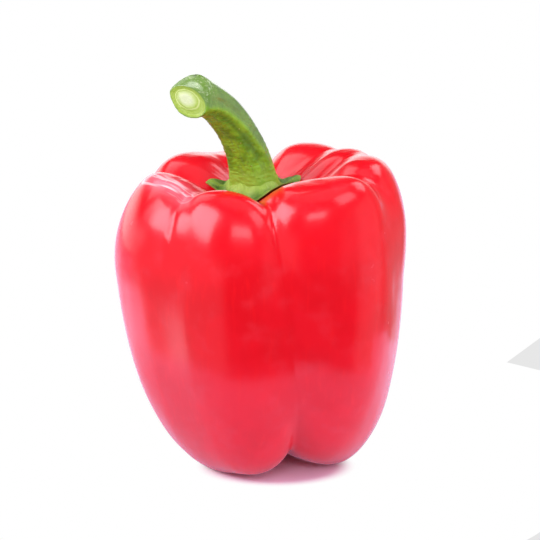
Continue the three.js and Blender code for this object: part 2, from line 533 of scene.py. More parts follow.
@dataclass(frozen=True)
class SkinFinish:
    """The fruit's skin: a clear wax over ripe red flesh, with painted seam shade and a painted
    sheen.

    Sizes and the depths of relief are in millimetres; strengths are shares from 0 to 1.
    """

    ripe: Colour = srgb(231, 9, 29)
    deep: Colour = srgb(222, 6, 24)
    warm: Colour = srgb(236, 16, 26)
    pale: Colour = srgb(240, 70, 66)
    scar: Colour = srgb(140, 96, 52)
    # Painted sheen: a pale pink laid along the left crest, also used for faint random smudges.
    painted_sheen: Colour = srgb(244, 116, 138)
    # The pale white of the highlight streaks painted over that sheen.
    white: Colour = srgb(255, 206, 216)
    sheen_tint: Colour = (1.0, 0.70, 0.95, 1.0)
    gloss: float = 0.24
    smudge_gloss: float = 0.14
    scar_gloss: float = 0.35
    wax: float = 0.35
    wax_gloss: float = 0.15
    blotch_size: float = 15.0
    smudge_size: float = 7.0
    streak_size: float = 1.3
    streak_squash: tuple[float, float, float] = (1.0, 1.0, 0.12)
    painted_streak_size: float = 1.5
    painted_streak_squash: tuple[float, float, float] = (1.0, 0.10, 1.0)
    grain_size: float = 0.8
    freckle: tuple[float, float, float] = (3.6, 0.16, 0.35)
    warm_share: float = 0.5
    painted_groove_shade: float = 0.55
    freckle_share: float = 0.2
    haze_share: float = 0.06
    painted_sheen_share: tuple[float, float] = (0.55, 0.4)
    painted_streak_share: float = 0.8
    folds_around: float = 110.0
    folds_wander: float = 22.0
    pore_depth: float = 0.014
    streak_depth: float = 0.006
    fold_depth: float = 0.07

    def material(self) -> bpy.types.Material:
        """The finish as a material.

        Returns:
            A material that reads the marks "groove", along which shade is painted, "scar", "folds",
            the mark of the painted sheen and highlight streaks, and "trail", the place along that
            sheen in metres, of the fruit's mesh.
        """
        material, sheet = new_sheet("red_skin")
        place = sheet.place()
        lengthwise = sheet.vectors("MULTIPLY", place, self.streak_squash)
        blotches = sheet.noise(place, self.blotch_size, 3.0)
        smudges = sheet.noise(place, self.smudge_size, 3.0)
        streaks = sheet.noise(lengthwise, self.streak_size, 3.0)
        grain = sheet.noise(place, self.grain_size, 2.0)

        colour = sheet.mix(blotches.step(0.40, 0.66), self.ripe, self.deep)
        colour = sheet.mix(streaks.step(0.5, 0.8) * self.warm_share, colour, self.warm)
        # Shade painted along the seams between the carpels: the red is darker there.
        colour = sheet.mix(sheet.mark("groove") * self.painted_groove_shade, colour, self.deep)
        freckles = sheet.spots(place, *self.freckle)
        colour = sheet.mix(freckles * self.freckle_share, colour, self.pale)
        scar = (sheet.mark("scar") + (grain - 0.5) * 0.8).step(0.35, 0.75)
        colour = sheet.mix(scar, colour, self.scar)

        # A pale pink sheen painted along the left crest, with faint random smudges of the same
        # colour elsewhere.
        least, more = self.painted_sheen_share
        painted_sheen = sheet.mark("painted_sheen") * (least + smudges.step(0.3, 0.6) * more)
        haze = smudges.step(0.50, 0.80) * self.haze_share
        colour = sheet.mix(painted_sheen.at_least(haze), colour, self.painted_sheen)
        # Highlight streaks painted in pale white along the crest, over the painted sheen.
        trail = sheet.vectors("MULTIPLY", sheet.mark("trail", "Vector"), self.painted_streak_squash)
        painted_streaks = sheet.noise(trail, self.painted_streak_size, 2.0).step(0.46, 0.62)
        painted_streaks = painted_streaks * sheet.mark("painted_sheen").step(0.2, 0.8)
        colour = sheet.mix(painted_streaks * self.painted_streak_share, colour, self.white)

        x, y, _ = sheet.parts(place)
        around = sheet.maths("ARCTAN2", y, x) * self.folds_around
        around = around + (blotches + smudges) * self.folds_wander
        folds = (sheet.maths("SINE", around) * 0.5 + 0.5) * sheet.mark("folds")
        pores = sheet.bump(grain, self.pore_depth)
        fine = sheet.bump(streaks, self.streak_depth, pores)
        gloss = self.gloss + (smudges - 0.5) * self.smudge_gloss
        sheet.surface(
            {
                "Base Color": colour,
                "Roughness": gloss + scar * self.scar_gloss,
                "Specular IOR Level": 0.34,
                "Specular Tint": self.sheen_tint,
                "Subsurface Weight": 0.12,
                "Subsurface Radius": (1.0, 0.12, 0.06),
                "Subsurface Scale": 0.002,
                "Coat Weight": self.wax - scar * self.wax,
                "Coat Roughness": self.wax_gloss,
                "Coat IOR": 1.5,
                "Normal": sheet.bump(folds, self.fold_depth, fine),
            }
        )
        return material


@dataclass(frozen=True)
class CalyxFinish:
    """The calyx: bright and ribbed by the stem, dark and granular towards its edge.

    Sizes and the depths of relief are in millimetres; strengths are shares from 0 to 1.
    """

    collar: Colour = srgb(160, 188, 76)
    blade: Colour = srgb(92, 132, 38)
    shade: Colour = srgb(48, 80, 22)
    edge: Colour = srgb(150, 160, 70)
    brown: Colour = srgb(104, 84, 40)
    gloss: float = 0.48
    cloud_gloss: float = 0.3
    cloud_size: float = 2.6
    grain_size: float = 0.6
    fleck: tuple[float, float, float] = (1.6, 0.24, 0.35)
    grain_share: float = 0.5
    rib_share: float = 0.5
    collar_share: float = 0.9
    rim_share: float = 0.6
    fleck_share: float = 0.5
    cloud_depth: float = 0.12
    grain_depth: float = 0.24

    def material(self) -> bpy.types.Material:
        """The finish as a material.

        Returns:
            A material that reads the marks "collar", "rim" and "rib" of the calyx's mesh.
        """
        material, sheet = new_sheet("calyx_green")
        place = sheet.place()
        clouds = sheet.noise(place, self.cloud_size, 3.0)
        grain = sheet.noise(place, self.grain_size, 3.0, 0.6)
        colour = sheet.mix(clouds.step(0.35, 0.7), self.blade, self.shade)
        colour = sheet.mix(grain.step(0.45, 0.75) * self.grain_share, colour, self.edge)
        colour = sheet.mix(sheet.mark("rib") * self.rib_share, colour, self.collar)
        near = (sheet.mark("collar") + (clouds - 0.5) * 0.5).step(0.15, 0.85)
        colour = sheet.mix(near * self.collar_share, colour, self.collar)
        rim = (sheet.mark("rim") + (grain - 0.5) * 0.6).step(0.5, 0.95)
        colour = sheet.mix(rim * self.rim_share, colour, self.edge)
        flecks = sheet.spots(place, *self.fleck)
        colour = sheet.mix(flecks * self.fleck_share, colour, self.brown)
        pebbles = sheet.bump(grain, self.grain_depth)
        sheet.surface(
            {
                "Base Color": colour,
                "Roughness": self.gloss + (clouds - 0.5) * self.cloud_gloss,
                "Specular IOR Level": 0.4,
                "Subsurface Weight": 0.08,
                "Subsurface Radius": (0.6, 1.0, 0.2),
                "Subsurface Scale": 0.001,
                "Normal": sheet.bump(clouds, self.cloud_depth, pebbles),
            }
        )
        return material


@dataclass(frozen=True)
class StalkFinish:
    """The stem's green bark: greyer on top, paler at its foot and scuffed round its cut, with light
    painted along its ridge and shade painted in the hollow beside it.

    Sizes and the depths of relief are in millimetres; strengths are shares from 0 to 1.
    """

    bark: Colour = srgb(136, 180, 42)
    dark: Colour = srgb(94, 136, 24)
    grey: Colour = srgb(102, 130, 76)
    foot: Colour = srgb(146, 182, 62)
    yellowed: Colour = srgb(134, 166, 70)
    pale: Colour = srgb(186, 198, 112)
    # The brighter green of the light painted along the ridge.
    bright: Colour = srgb(128, 168, 44)
    # The darker olive of the shade painted in the hollow beside the ridge.
    painted_shade_olive: Colour = srgb(72, 106, 20)
    scuffed: Colour = srgb(104, 138, 50)
    scratched: Colour = srgb(210, 218, 180)
    bruised: Colour = srgb(62, 76, 40)
    gloss: float = 0.40
    cloud_gloss: float = 0.2
    upper_gloss: float = 0.1
    wax: float = 0.8
    cloud_size: float = 3.2
    fibre_size: float = 0.9
    fibre_squash: tuple[float, float, float] = (1.0, 1.0, 0.16)
    wrinkle_size: float = 0.8
    wrinkle_squash: tuple[float, float, float] = (0.35, 0.35, 1.0)
    scratch_size: float = 0.6
    scratch_squash: tuple[float, float, float] = (1.0, 0.3, 0.7)
    grain_size: float = 0.35
    wart: tuple[float, float, float] = (1.9, 0.30, 0.4)
    bruise: tuple[float, float, float] = (2.4, 0.8, 0.55)
    fibre_share: float = 0.45
    upper_share: float = 0.7
    painted_hollow_shade: float = 0.8
    painted_ridge_light: float = 0.6
    foot_share: float = 0.9
    bend_share: float = 0.35
    wart_share: float = 0.6
    scuff_share: float = 0.6
    scratch_share: float = 0.5
    bruise_share: float = 0.7
    grain_depth: float = 0.05
    wrinkle_depth: float = 0.07
    fibre_depth: float = 0.07
    wart_depth: float = 0.12

    def material(self) -> bpy.types.Material:
        """The finish as a material.

        Returns:
            A material that reads the marks "stalk", the place on the straightened stem in
            metres, "upper", "ridge", "hollow", "foot", "bend" and "scuff" of the stem's mesh.
        """
        material, sheet = new_sheet("stem_green")
        stalk = sheet.mark("stalk", "Vector")
        lengthwise = sheet.vectors("MULTIPLY", stalk, self.fibre_squash)
        crosswise = sheet.vectors("MULTIPLY", stalk, self.wrinkle_squash)
        slanting = sheet.vectors("MULTIPLY", stalk, self.scratch_squash)
        clouds = sheet.noise(stalk, self.cloud_size, 3.0)
        fibres = sheet.noise(lengthwise, self.fibre_size, 3.0)
        wrinkles = sheet.noise(crosswise, self.wrinkle_size, 2.0)
        scratches = sheet.noise(slanting, self.scratch_size, 3.0, 0.7)
        grain = sheet.noise(stalk, self.grain_size, 2.0, 0.6)
        upper, scuff = sheet.mark("upper"), sheet.mark("scuff")

        colour = sheet.mix(clouds.step(0.36, 0.66), self.bark, self.dark)
        colour = sheet.mix(fibres.step(0.45, 0.75) * self.fibre_share, colour, self.grey)
        colour = sheet.mix(upper * self.upper_share, colour, self.grey)
        # Shade painted in the hollow beside the ridge: a darker olive.
        colour = sheet.mix(sheet.mark("hollow") * self.painted_hollow_shade, colour, self.painted_shade_olive)
        # Light painted along the ridge: a brighter green band.
        colour = sheet.mix(sheet.mark("ridge") * self.painted_ridge_light, colour, self.bright)
        near = (sheet.mark("foot") + (clouds - 0.5) * 0.5).step(0.1, 0.9)
        colour = sheet.mix(near * self.foot_share, colour, self.foot)
        bend = sheet.mark("bend") * wrinkles.step(0.42, 0.62)
        colour = sheet.mix(bend * self.bend_share, colour, self.yellowed)
        warts = sheet.spots(stalk, *self.wart) * (1.0 - upper)
        colour = sheet.mix(warts * self.wart_share, colour, self.pale)
        colour = sheet.mix(scuff * self.scuff_share, colour, self.scuffed)
        scratched = scuff * scratches.step(0.54, 0.70)
        colour = sheet.mix(scratched * self.scratch_share, colour, self.scratched)
        bruises = sheet.spots(stalk, *self.bruise) * scuff
        colour = sheet.mix(bruises * self.bruise_share, colour, self.bruised)

        fine = sheet.bump(grain, self.grain_depth)
        folds = sheet.bump(wrinkles, self.wrinkle_depth, fine)
        ribs = sheet.bump(fibres, self.fibre_depth, folds)
        gloss = self.gloss + (clouds - 0.5) * self.cloud_gloss
        sheet.surface(
            {
                "Base Color": colour,
                "Roughness": gloss - upper * self.upper_gloss,
                "Specular IOR Level": 0.35,
                "Subsurface Weight": 0.08,
                "Subsurface Radius": (0.6, 1.0, 0.2),
                "Subsurface Scale": 0.001,
                "Coat Weight": upper * self.wax,
                "Coat Roughness": 0.18,
                "Normal": sheet.bump(warts, self.wart_depth, ribs),
            }
        )
        return material


@dataclass(frozen=True)
class CutFinish:
    """The stem's cut end: a green bark, a bright cortex, a pale ring and a cream pith.

    Sizes and the depths of relief are in millimetres; strengths are shares from 0 to 1.
    """

    bark: Colour = srgb(112, 142, 44)
    cortex: Colour = srgb(158, 180, 70)
    ring: Colour = srgb(206, 214, 142)
    pith: Colour = srgb(205, 211, 172)
    core: Colour = srgb(180, 196, 112)
    gloss: float = 0.34
    cloud_gloss: float = 0.2
    grain_size: float = 0.45
    cloud_size: float = 1.8
    ragged: float = 0.10
    grain_share: float = 0.35
    grain_depth: float = 0.09
    cloud_depth: float = 0.1

    def material(self) -> bpy.types.Material:
        """The finish as a material.

        Returns:
            A material that reads the mark "cut", the share of the way out from the cut's
            middle, and "stalk", the place on the straightened stem.
        """
        material, sheet = new_sheet("stem_cut")
        stalk = sheet.mark("stalk", "Vector")
        grain = sheet.noise(stalk, self.grain_size, 3.0, 0.6)
        clouds = sheet.noise(stalk, self.cloud_size, 2.0)
        out = sheet.mark("cut") + (clouds - 0.5) * self.ragged
        stops = [
            (0.0, self.pith),
            (0.28, self.pith),
            (0.52, self.core),
            (0.60, self.cortex),
            (0.66, self.ring),
            (0.71, self.cortex),
            (0.93, self.cortex),
            (1.0, self.bark),
        ]
        colour = sheet.add("ShaderNodeValToRGB", {"stops": stops}, {0: out})
        colour = sheet.mix(grain.step(0.5, 0.8) * self.grain_share, colour, self.ring)
        cells = sheet.bump(grain, self.grain_depth)
        sheet.surface(
            {
                "Base Color": colour,
                "Roughness": self.gloss + (clouds - 0.5) * self.cloud_gloss,
                "Subsurface Weight": 0.15,
                "Subsurface Radius": (1.0, 1.0, 0.5),
                "Subsurface Scale": 0.001,
                "Normal": sheet.bump(clouds, self.cloud_depth, cells),
            }
        )
        return material


@dataclass(frozen=True)
class FloorFinish:
    """White table paper: mauve in the pepper's shadow and plain white beyond; to reflections only
    it glows, faintly all over and brightly on its left, a painted reflection.

    Places and half sizes are in metres; the paper's tooth is in millimetres.
    """

    paper: Colour = srgb(204, 216, 250)
    shaded: Colour = srgb(248, 213, 250)
    white: Colour = (1.0, 1.0, 1.0, 1.0)
    gloss: float = 0.5
    tooth_size: float = 0.7
    tooth_depth: float = 0.02
    # The faint glow that only reflections see, a painted reflection.
    reflected_glow: Colour = (0.25, 0.12, 0.20, 1.0)
    # The bright glow of a patch on the left that only reflections see, a painted reflection.
    glow_patch: Colour = (2.2, 1.8, 2.3, 1.0)
    glow_patch_middle: tuple[float, float] = (-0.135, 0.0)
    glow_patch_half: tuple[float, float] = (0.055, 0.055)
    glow_patch_fade: tuple[float, float] = (0.1, 1.4)
    shadow_middle: tuple[float, float] = (0.0042, -0.014)
    shadow_half: tuple[float, float] = (0.026, 0.017)
    shadow_fade: tuple[float, float] = (0.64, 0.90)

    def material(self) -> bpy.types.Material:
        """The finish as a material.

        Returns:
            A matt white which, to the camera only, grows to plain white away from the pepper's
            shadow, and which, to glossy rays only, glows faintly all over and brightly on its left
            as a painted reflection.
        """
        material, sheet = new_sheet("table_paper")
        place = sheet.place()
        seen = sheet.add("ShaderNodeLightPath", {}, {}, "Is Camera Ray")
        mirrored = sheet.add("ShaderNodeLightPath", {}, {}, "Is Glossy Ray")
        tooth = sheet.bump(sheet.noise(place, self.tooth_size, 3.0), self.tooth_depth)
        colour = sheet.mix(seen, self.paper, self.shaded)
        finish = {"Base Color": colour, "Roughness": self.gloss, "Normal": tooth}
        paper = sheet.add("ShaderNodeBsdfPrincipled", {}, finish)
        # Painted reflection: to glossy rays only, the paper glows faintly all over and brightly in
        # a patch on its left.
        glow_patch = 1.0 - sheet.away(place, self.glow_patch_middle, self.glow_patch_half).step(*self.glow_patch_fade)
        tone = sheet.mix(glow_patch, self.reflected_glow, self.glow_patch)
        reflected_glow = sheet.add("ShaderNodeEmission", {}, {"Color": tone, "Strength": mirrored})
        near = sheet.add("ShaderNodeAddShader", {}, {0: paper, 1: reflected_glow})
        beyond = sheet.add("ShaderNodeEmission", {}, {"Color": self.white, "Strength": 1.0})
        far = sheet.away(place, self.shadow_middle, self.shadow_half).step(*self.shadow_fade)
        both = sheet.add("ShaderNodeMixShader", {}, {0: far * seen, 1: near, 2: beyond})
        sheet.add("ShaderNodeOutputMaterial", {}, {"Surface": both})
        return material


# ------------------------------------------------------------------ the fruit


@dataclass(frozen=True)
class Ridge:
    """One upright ridge of the fruit, in millimetres and degrees.

    Azimuth 0 faces the front and grows to the right. The reaches are from the fruit's
    axis to the ridge's own at its crown, its belly (the widest place) and its foot.
    Depth is its half size away from the axis and width its half size along the skin.
    Twist is how far its foot lies round from its crown, turn how far its section is turned
    on its own axis, and slant how much its crown rises along its width.
    """

    azimuth: float
    crown: float
    crown_reach: float
    belly_reach: float
    foot: float
    foot_reach: float
    width: float
    belly: float = 50.0
    depth: float = 19.0
    crown_depth: float = 12.5
    narrowing: float = 0.0
    twist: float = 0.0
    turn: float = 0.0
    slant: float = 0.0
    shoulder_rounding: float = 2.9
    foot_rounding: float = 2.4
    farthest_rise: float = 1.2

    def outside(self, x: Array, y: Array, z: Array) -> Array:
        """About how far points lie outside the ridge.

        Args:
            x: to the right of the fruit's axis.
            y: behind it.
            z: above the ground.

        Returns:
            A distance for each point, below 0 inside.
        """
        above = z > self.belly
        span = np.where(above, self.crown - self.belly, self.belly - self.foot)
        rise = np.clip((z - self.belly) / span, -self.farthest_rise, self.farthest_rise)
        azimuth = np.radians(self.azimuth + self.twist * (1.0 - rise) / 2.0)
        slope = (self.crown_reach - self.foot_reach) / 2.0
        bend = (self.crown_reach + self.foot_reach) / 2.0 - self.belly_reach
        reach = self.belly_reach + slope * rise + bend * rise * rise
        from_x = x - reach * np.sin(azimuth)
        from_y = y + reach * np.cos(azimuth)
        facing = azimuth + np.radians(self.turn)
        out = from_x * np.sin(facing) - from_y * np.cos(facing)
        side = from_x * np.cos(facing) + from_y * np.sin(facing)
        span = span + np.where(above, self.slant * side, 0.0)
        depth = self.depth + (self.crown_depth - self.depth) * np.maximum(rise, 0.0) ** 2
        width = self.width * (1.0 + self.narrowing * np.minimum(rise, 0.0))
        level = np.hypot(out / depth, side / width)
        power = np.where(above, self.shoulder_rounding, self.foot_rounding)
        size = (level**power + (np.abs(z - self.belly) / span) ** power) ** (1.0 / power)
        return (size - 1.0) * min(self.depth, self.width)


@dataclass(frozen=True)
class Core:
    """What fills the fruit between its ridges, up to the hollows at its two ends."""

    radius: float = 15.5
    flare: float = 0.12
    low: float = 9.0
    high: float = 77.0
    squareness: float = 4.0

    def outside(self, x: Array, y: Array, z: Array) -> Array:
        """About how far points lie outside the core.

        Args:
            x: to the right of the fruit's axis.
            y: behind it.
            z: above the ground.

        Returns:
            A distance for each point, below 0 inside.
        """
        half = (self.high - self.low) / 2.0
        rise = (z - (self.high + self.low) / 2.0) / half
        radius = self.radius * (1.0 + self.flare * np.clip(rise, -1.0, 1.0))
        power = self.squareness
        size = ((np.hypot(x, y) / radius) ** power + np.abs(rise) ** power) ** (1.0 / power)
        return (size - 1.0) * self.radius


@dataclass(frozen=True)
class Fillet:
    """The rounding of a groove in the middle of the fruit, at its crown and at its feet."""

    middle: float
    crown: float
    foot: float
    crown_zone: tuple[float, float]
    foot_zone: tuple[float, float] = (28.0, 14.0)

    def at(self, z: Array) -> Array:
        """The rounding at some heights.

        Args:
            z: heights above the ground.

        Returns:
            A rounding for each height.
        """
        crown = ease(z, *self.crown_zone)
        foot = ease(z, *self.foot_zone)
        return self.middle + (self.crown - self.middle) * crown + (self.foot - self.middle) * foot


@dataclass(frozen=True)
class Swell:
    """A soft swelling of the skin: its middle and its radius and height, in millimetres."""

    middle: tuple[float, float, float]
    radius: float
    height: float

    def at(self, points: Array) -> Array:
        """How far it raises the skin at some points."""
        away = np.linalg.norm(points - np.array(self.middle), axis=-1)
        return self.height * hump(away, self.radius)


@dataclass(frozen=True)
class Trail:
    """A line drawn over the skin through some points, and its half width, in millimetres."""

    points: tuple[tuple[float, float, float], ...]
    half: float

    def at(self, points: Array) -> Array:
        """How near some points are to the line: 1 on it, falling to 0 beyond its half width.

        Args:
            points: the points to measure.

        Returns:
            A share for each point.
        """
        return hump(self.beside(points)[..., 0], self.half)

    def beside(self, points: Array) -> Array:
        """Where some points lie by the line.

        Args:
            points: the points to place.

        Returns:
            For each point how far off the line it is, below 0 on its left, how far along
            the line, and 0.
        """
        nearest = np.full(points.shape[:-1], np.inf)
        place = np.zeros(points.shape)
        travelled = 0.0
        for start, end in zip(self.points, self.points[1:]):
            first = np.array(start)
            step = np.array(end) - first
            length = np.linalg.norm(step)
            offset = points - first
            along = np.clip(offset @ step / length**2, 0.0, 1.0)
            away = np.linalg.norm(offset - along[..., None] * step, axis=-1)
            left = step[0] * offset[..., 1] > step[1] * offset[..., 0]
            off = np.where(left, -away, away)
            here = np.stack([off, travelled + along * length, np.zeros(away.shape)], axis=-1)
            closer = away < nearest
            place = np.where(closer[..., None], here, place)
            nearest = np.where(closer, away, nearest)
            travelled += length
        return place


SWELLS = (Swell((5.0, -22.0, 82.8), 4.6, 0.8),)
CREASE = Trail(
    (
        (-22.2, -18.6, 81.2),
        (-22.9, -20.2, 80.2),
        (-24.0, -21.0, 78.9),
        (-24.5, -21.8, 77.5),
        (-24.8, -22.8, 76.0),
        (-25.3, -24.1, 73.7),
        (-25.4, -25.4, 70.7),
    ),
    1.2,
)
# The line along the left crest where a pale sheen and highlight streaks are painted on the skin.
PAINTED_SHEEN_LINE = Trail(
    (
        (-32.0, -4.0, 83.6),
        (-28.6, -9.4, 84.2),
        (-25.2, -12.4, 83.9),
        (-21.8, -15.0, 82.6),
        (-20.4, -17.0, 81.8),
    ),
    3.6,
)
CARPELS = (
    (
        Ridge(
            azimuth=-21.6, crown=84.2, crown_reach=23.5, belly_reach=21.9, foot=1.0,
            foot_reach=20.5, width=20.4, belly=48.5, depth=16.3, crown_depth=9.9,
            twist=0.6, turn=0.8, shoulder_rounding=2.4,
        ),
        Ridge(
            azimuth=-74.6, crown=84.5, crown_reach=25.4, belly_reach=23.8, foot=1.6,
            foot_reach=19.0, width=17.5, belly=54.0, depth=18.0, crown_depth=9.4,
            twist=0.8, turn=7.8, slant=-0.05,
        ),
    ),
    (
        Ridge(
            azimuth=-128.0, crown=85.2, crown_reach=23.5, belly_reach=21.5, foot=3.6,
            foot_reach=16.0, width=16.0, belly=52.0, depth=18.0,
        ),
        Ridge(
            azimuth=-163.0, crown=83.4, crown_reach=24.5, belly_reach=21.0, foot=5.6,
            foot_reach=16.0, width=14.0,
        ),
    ),
    (
        Ridge(
            azimuth=141.0, crown=86.2, crown_reach=27.0, belly_reach=21.0, foot=3.2,
            foot_reach=17.0, width=18.0,
        ),
        Ridge(
            azimuth=108.0, crown=88.0, crown_reach=27.5, belly_reach=23.0, foot=4.6,
            foot_reach=18.0, width=13.0, depth=17.0,
        ),
    ),
    (
        Ridge(
            azimuth=84.0, crown=88.8, crown_reach=31.0, belly_reach=24.7, foot=5.0,
            foot_reach=21.0, width=16.0, belly=55.0, depth=16.0, crown_depth=11.0,
        ),
        Ridge(
            azimuth=41.0, crown=86.7, crown_reach=26.7, belly_reach=22.4, foot=1.6,
            foot_reach=18.0, width=20.0, belly=45.0, depth=18.8, crown_depth=12.8,
            narrowing=0.13, twist=7.6, turn=-31.0, slant=0.17, shoulder_rounding=3.5,
        ),
    ),
)


@dataclass(frozen=True)
class SkinRelief:
    """The waves, folds, streaks and creases of the fruit's skin, in millimetres and degrees."""

    waves: Lumps = Lumps((15.0, 15.0, 19.0), 3, 0.16)
    dents: Lumps = Lumps((5.0, 5.0, 8.0), 4, 0.045)
    ribs: Lumps = Lumps((3.4, 3.4, 60.0), 5, 0.05)
    folds: Lumps = Lumps((2.2, 2.2, 16.0), 6, 0.05)
    unrolled_radius: float = 35.0
    streak_height: float = 0.03
    streaks_around: float = 41.0
    streak_wander: float = 9.0
    streak_azimuth: float = -70.0
    streak_spread: float = 26.0
    seam_depth: float = 0.20
    seam_half: float = 0.8
    seam_start: tuple[float, float] = (12.0, 20.0)
    swells: tuple[Swell, ...] = SWELLS
    crease: Trail = CREASE
    crease_depth: float = 0.34
    crease_end: tuple[float, float] = (68.0, 75.0)
    resting: tuple[float, float] = (0.4, 3.0)

    def at(self, points: Array, seam: Array, hollow: Array) -> Array:
        """How far the skin is raised.

        Args:
            points: points of the smooth skin.
            seam: how far they are from the carpels' seams.
            hollow: 1 inside the crown's hollow and 0 outside it.

        Returns:
            A height for each point, in millimetres.
        """
        x, y, z = points[..., 0], points[..., 1], points[..., 2]
        out = np.hypot(x, y)
        azimuth = np.degrees(np.arctan2(x, -y))
        turn = np.radians(azimuth)
        rise = z + out * hollow
        radius = self.unrolled_radius
        unrolled = np.stack([np.cos(turn) * radius, np.sin(turn) * radius, rise], axis=-1)
        waves = self.waves.at(points)
        dents = self.dents.at(points)
        ribs = self.ribs.at(unrolled)
        folds = hollow * self.folds.at(unrolled)
        beside = hump(turn_between(azimuth, self.streak_azimuth), self.streak_spread)
        ripple = np.sin(np.radians(azimuth * self.streaks_around) + waves * self.streak_wander)
        streaks = self.streak_height * hollow * beside * ripple
        seams = -self.seam_depth * hump(seam, self.seam_half) * ease(out, *self.seam_start)
        swelling = sum(swell.at(points) for swell in self.swells)
        crease = -self.crease_depth * self.crease.at(points) * ease(z, *self.crease_end)
        raised = waves + dents + ribs + folds + streaks + seams + swelling + crease
        return raised * ease(z, *self.resting)


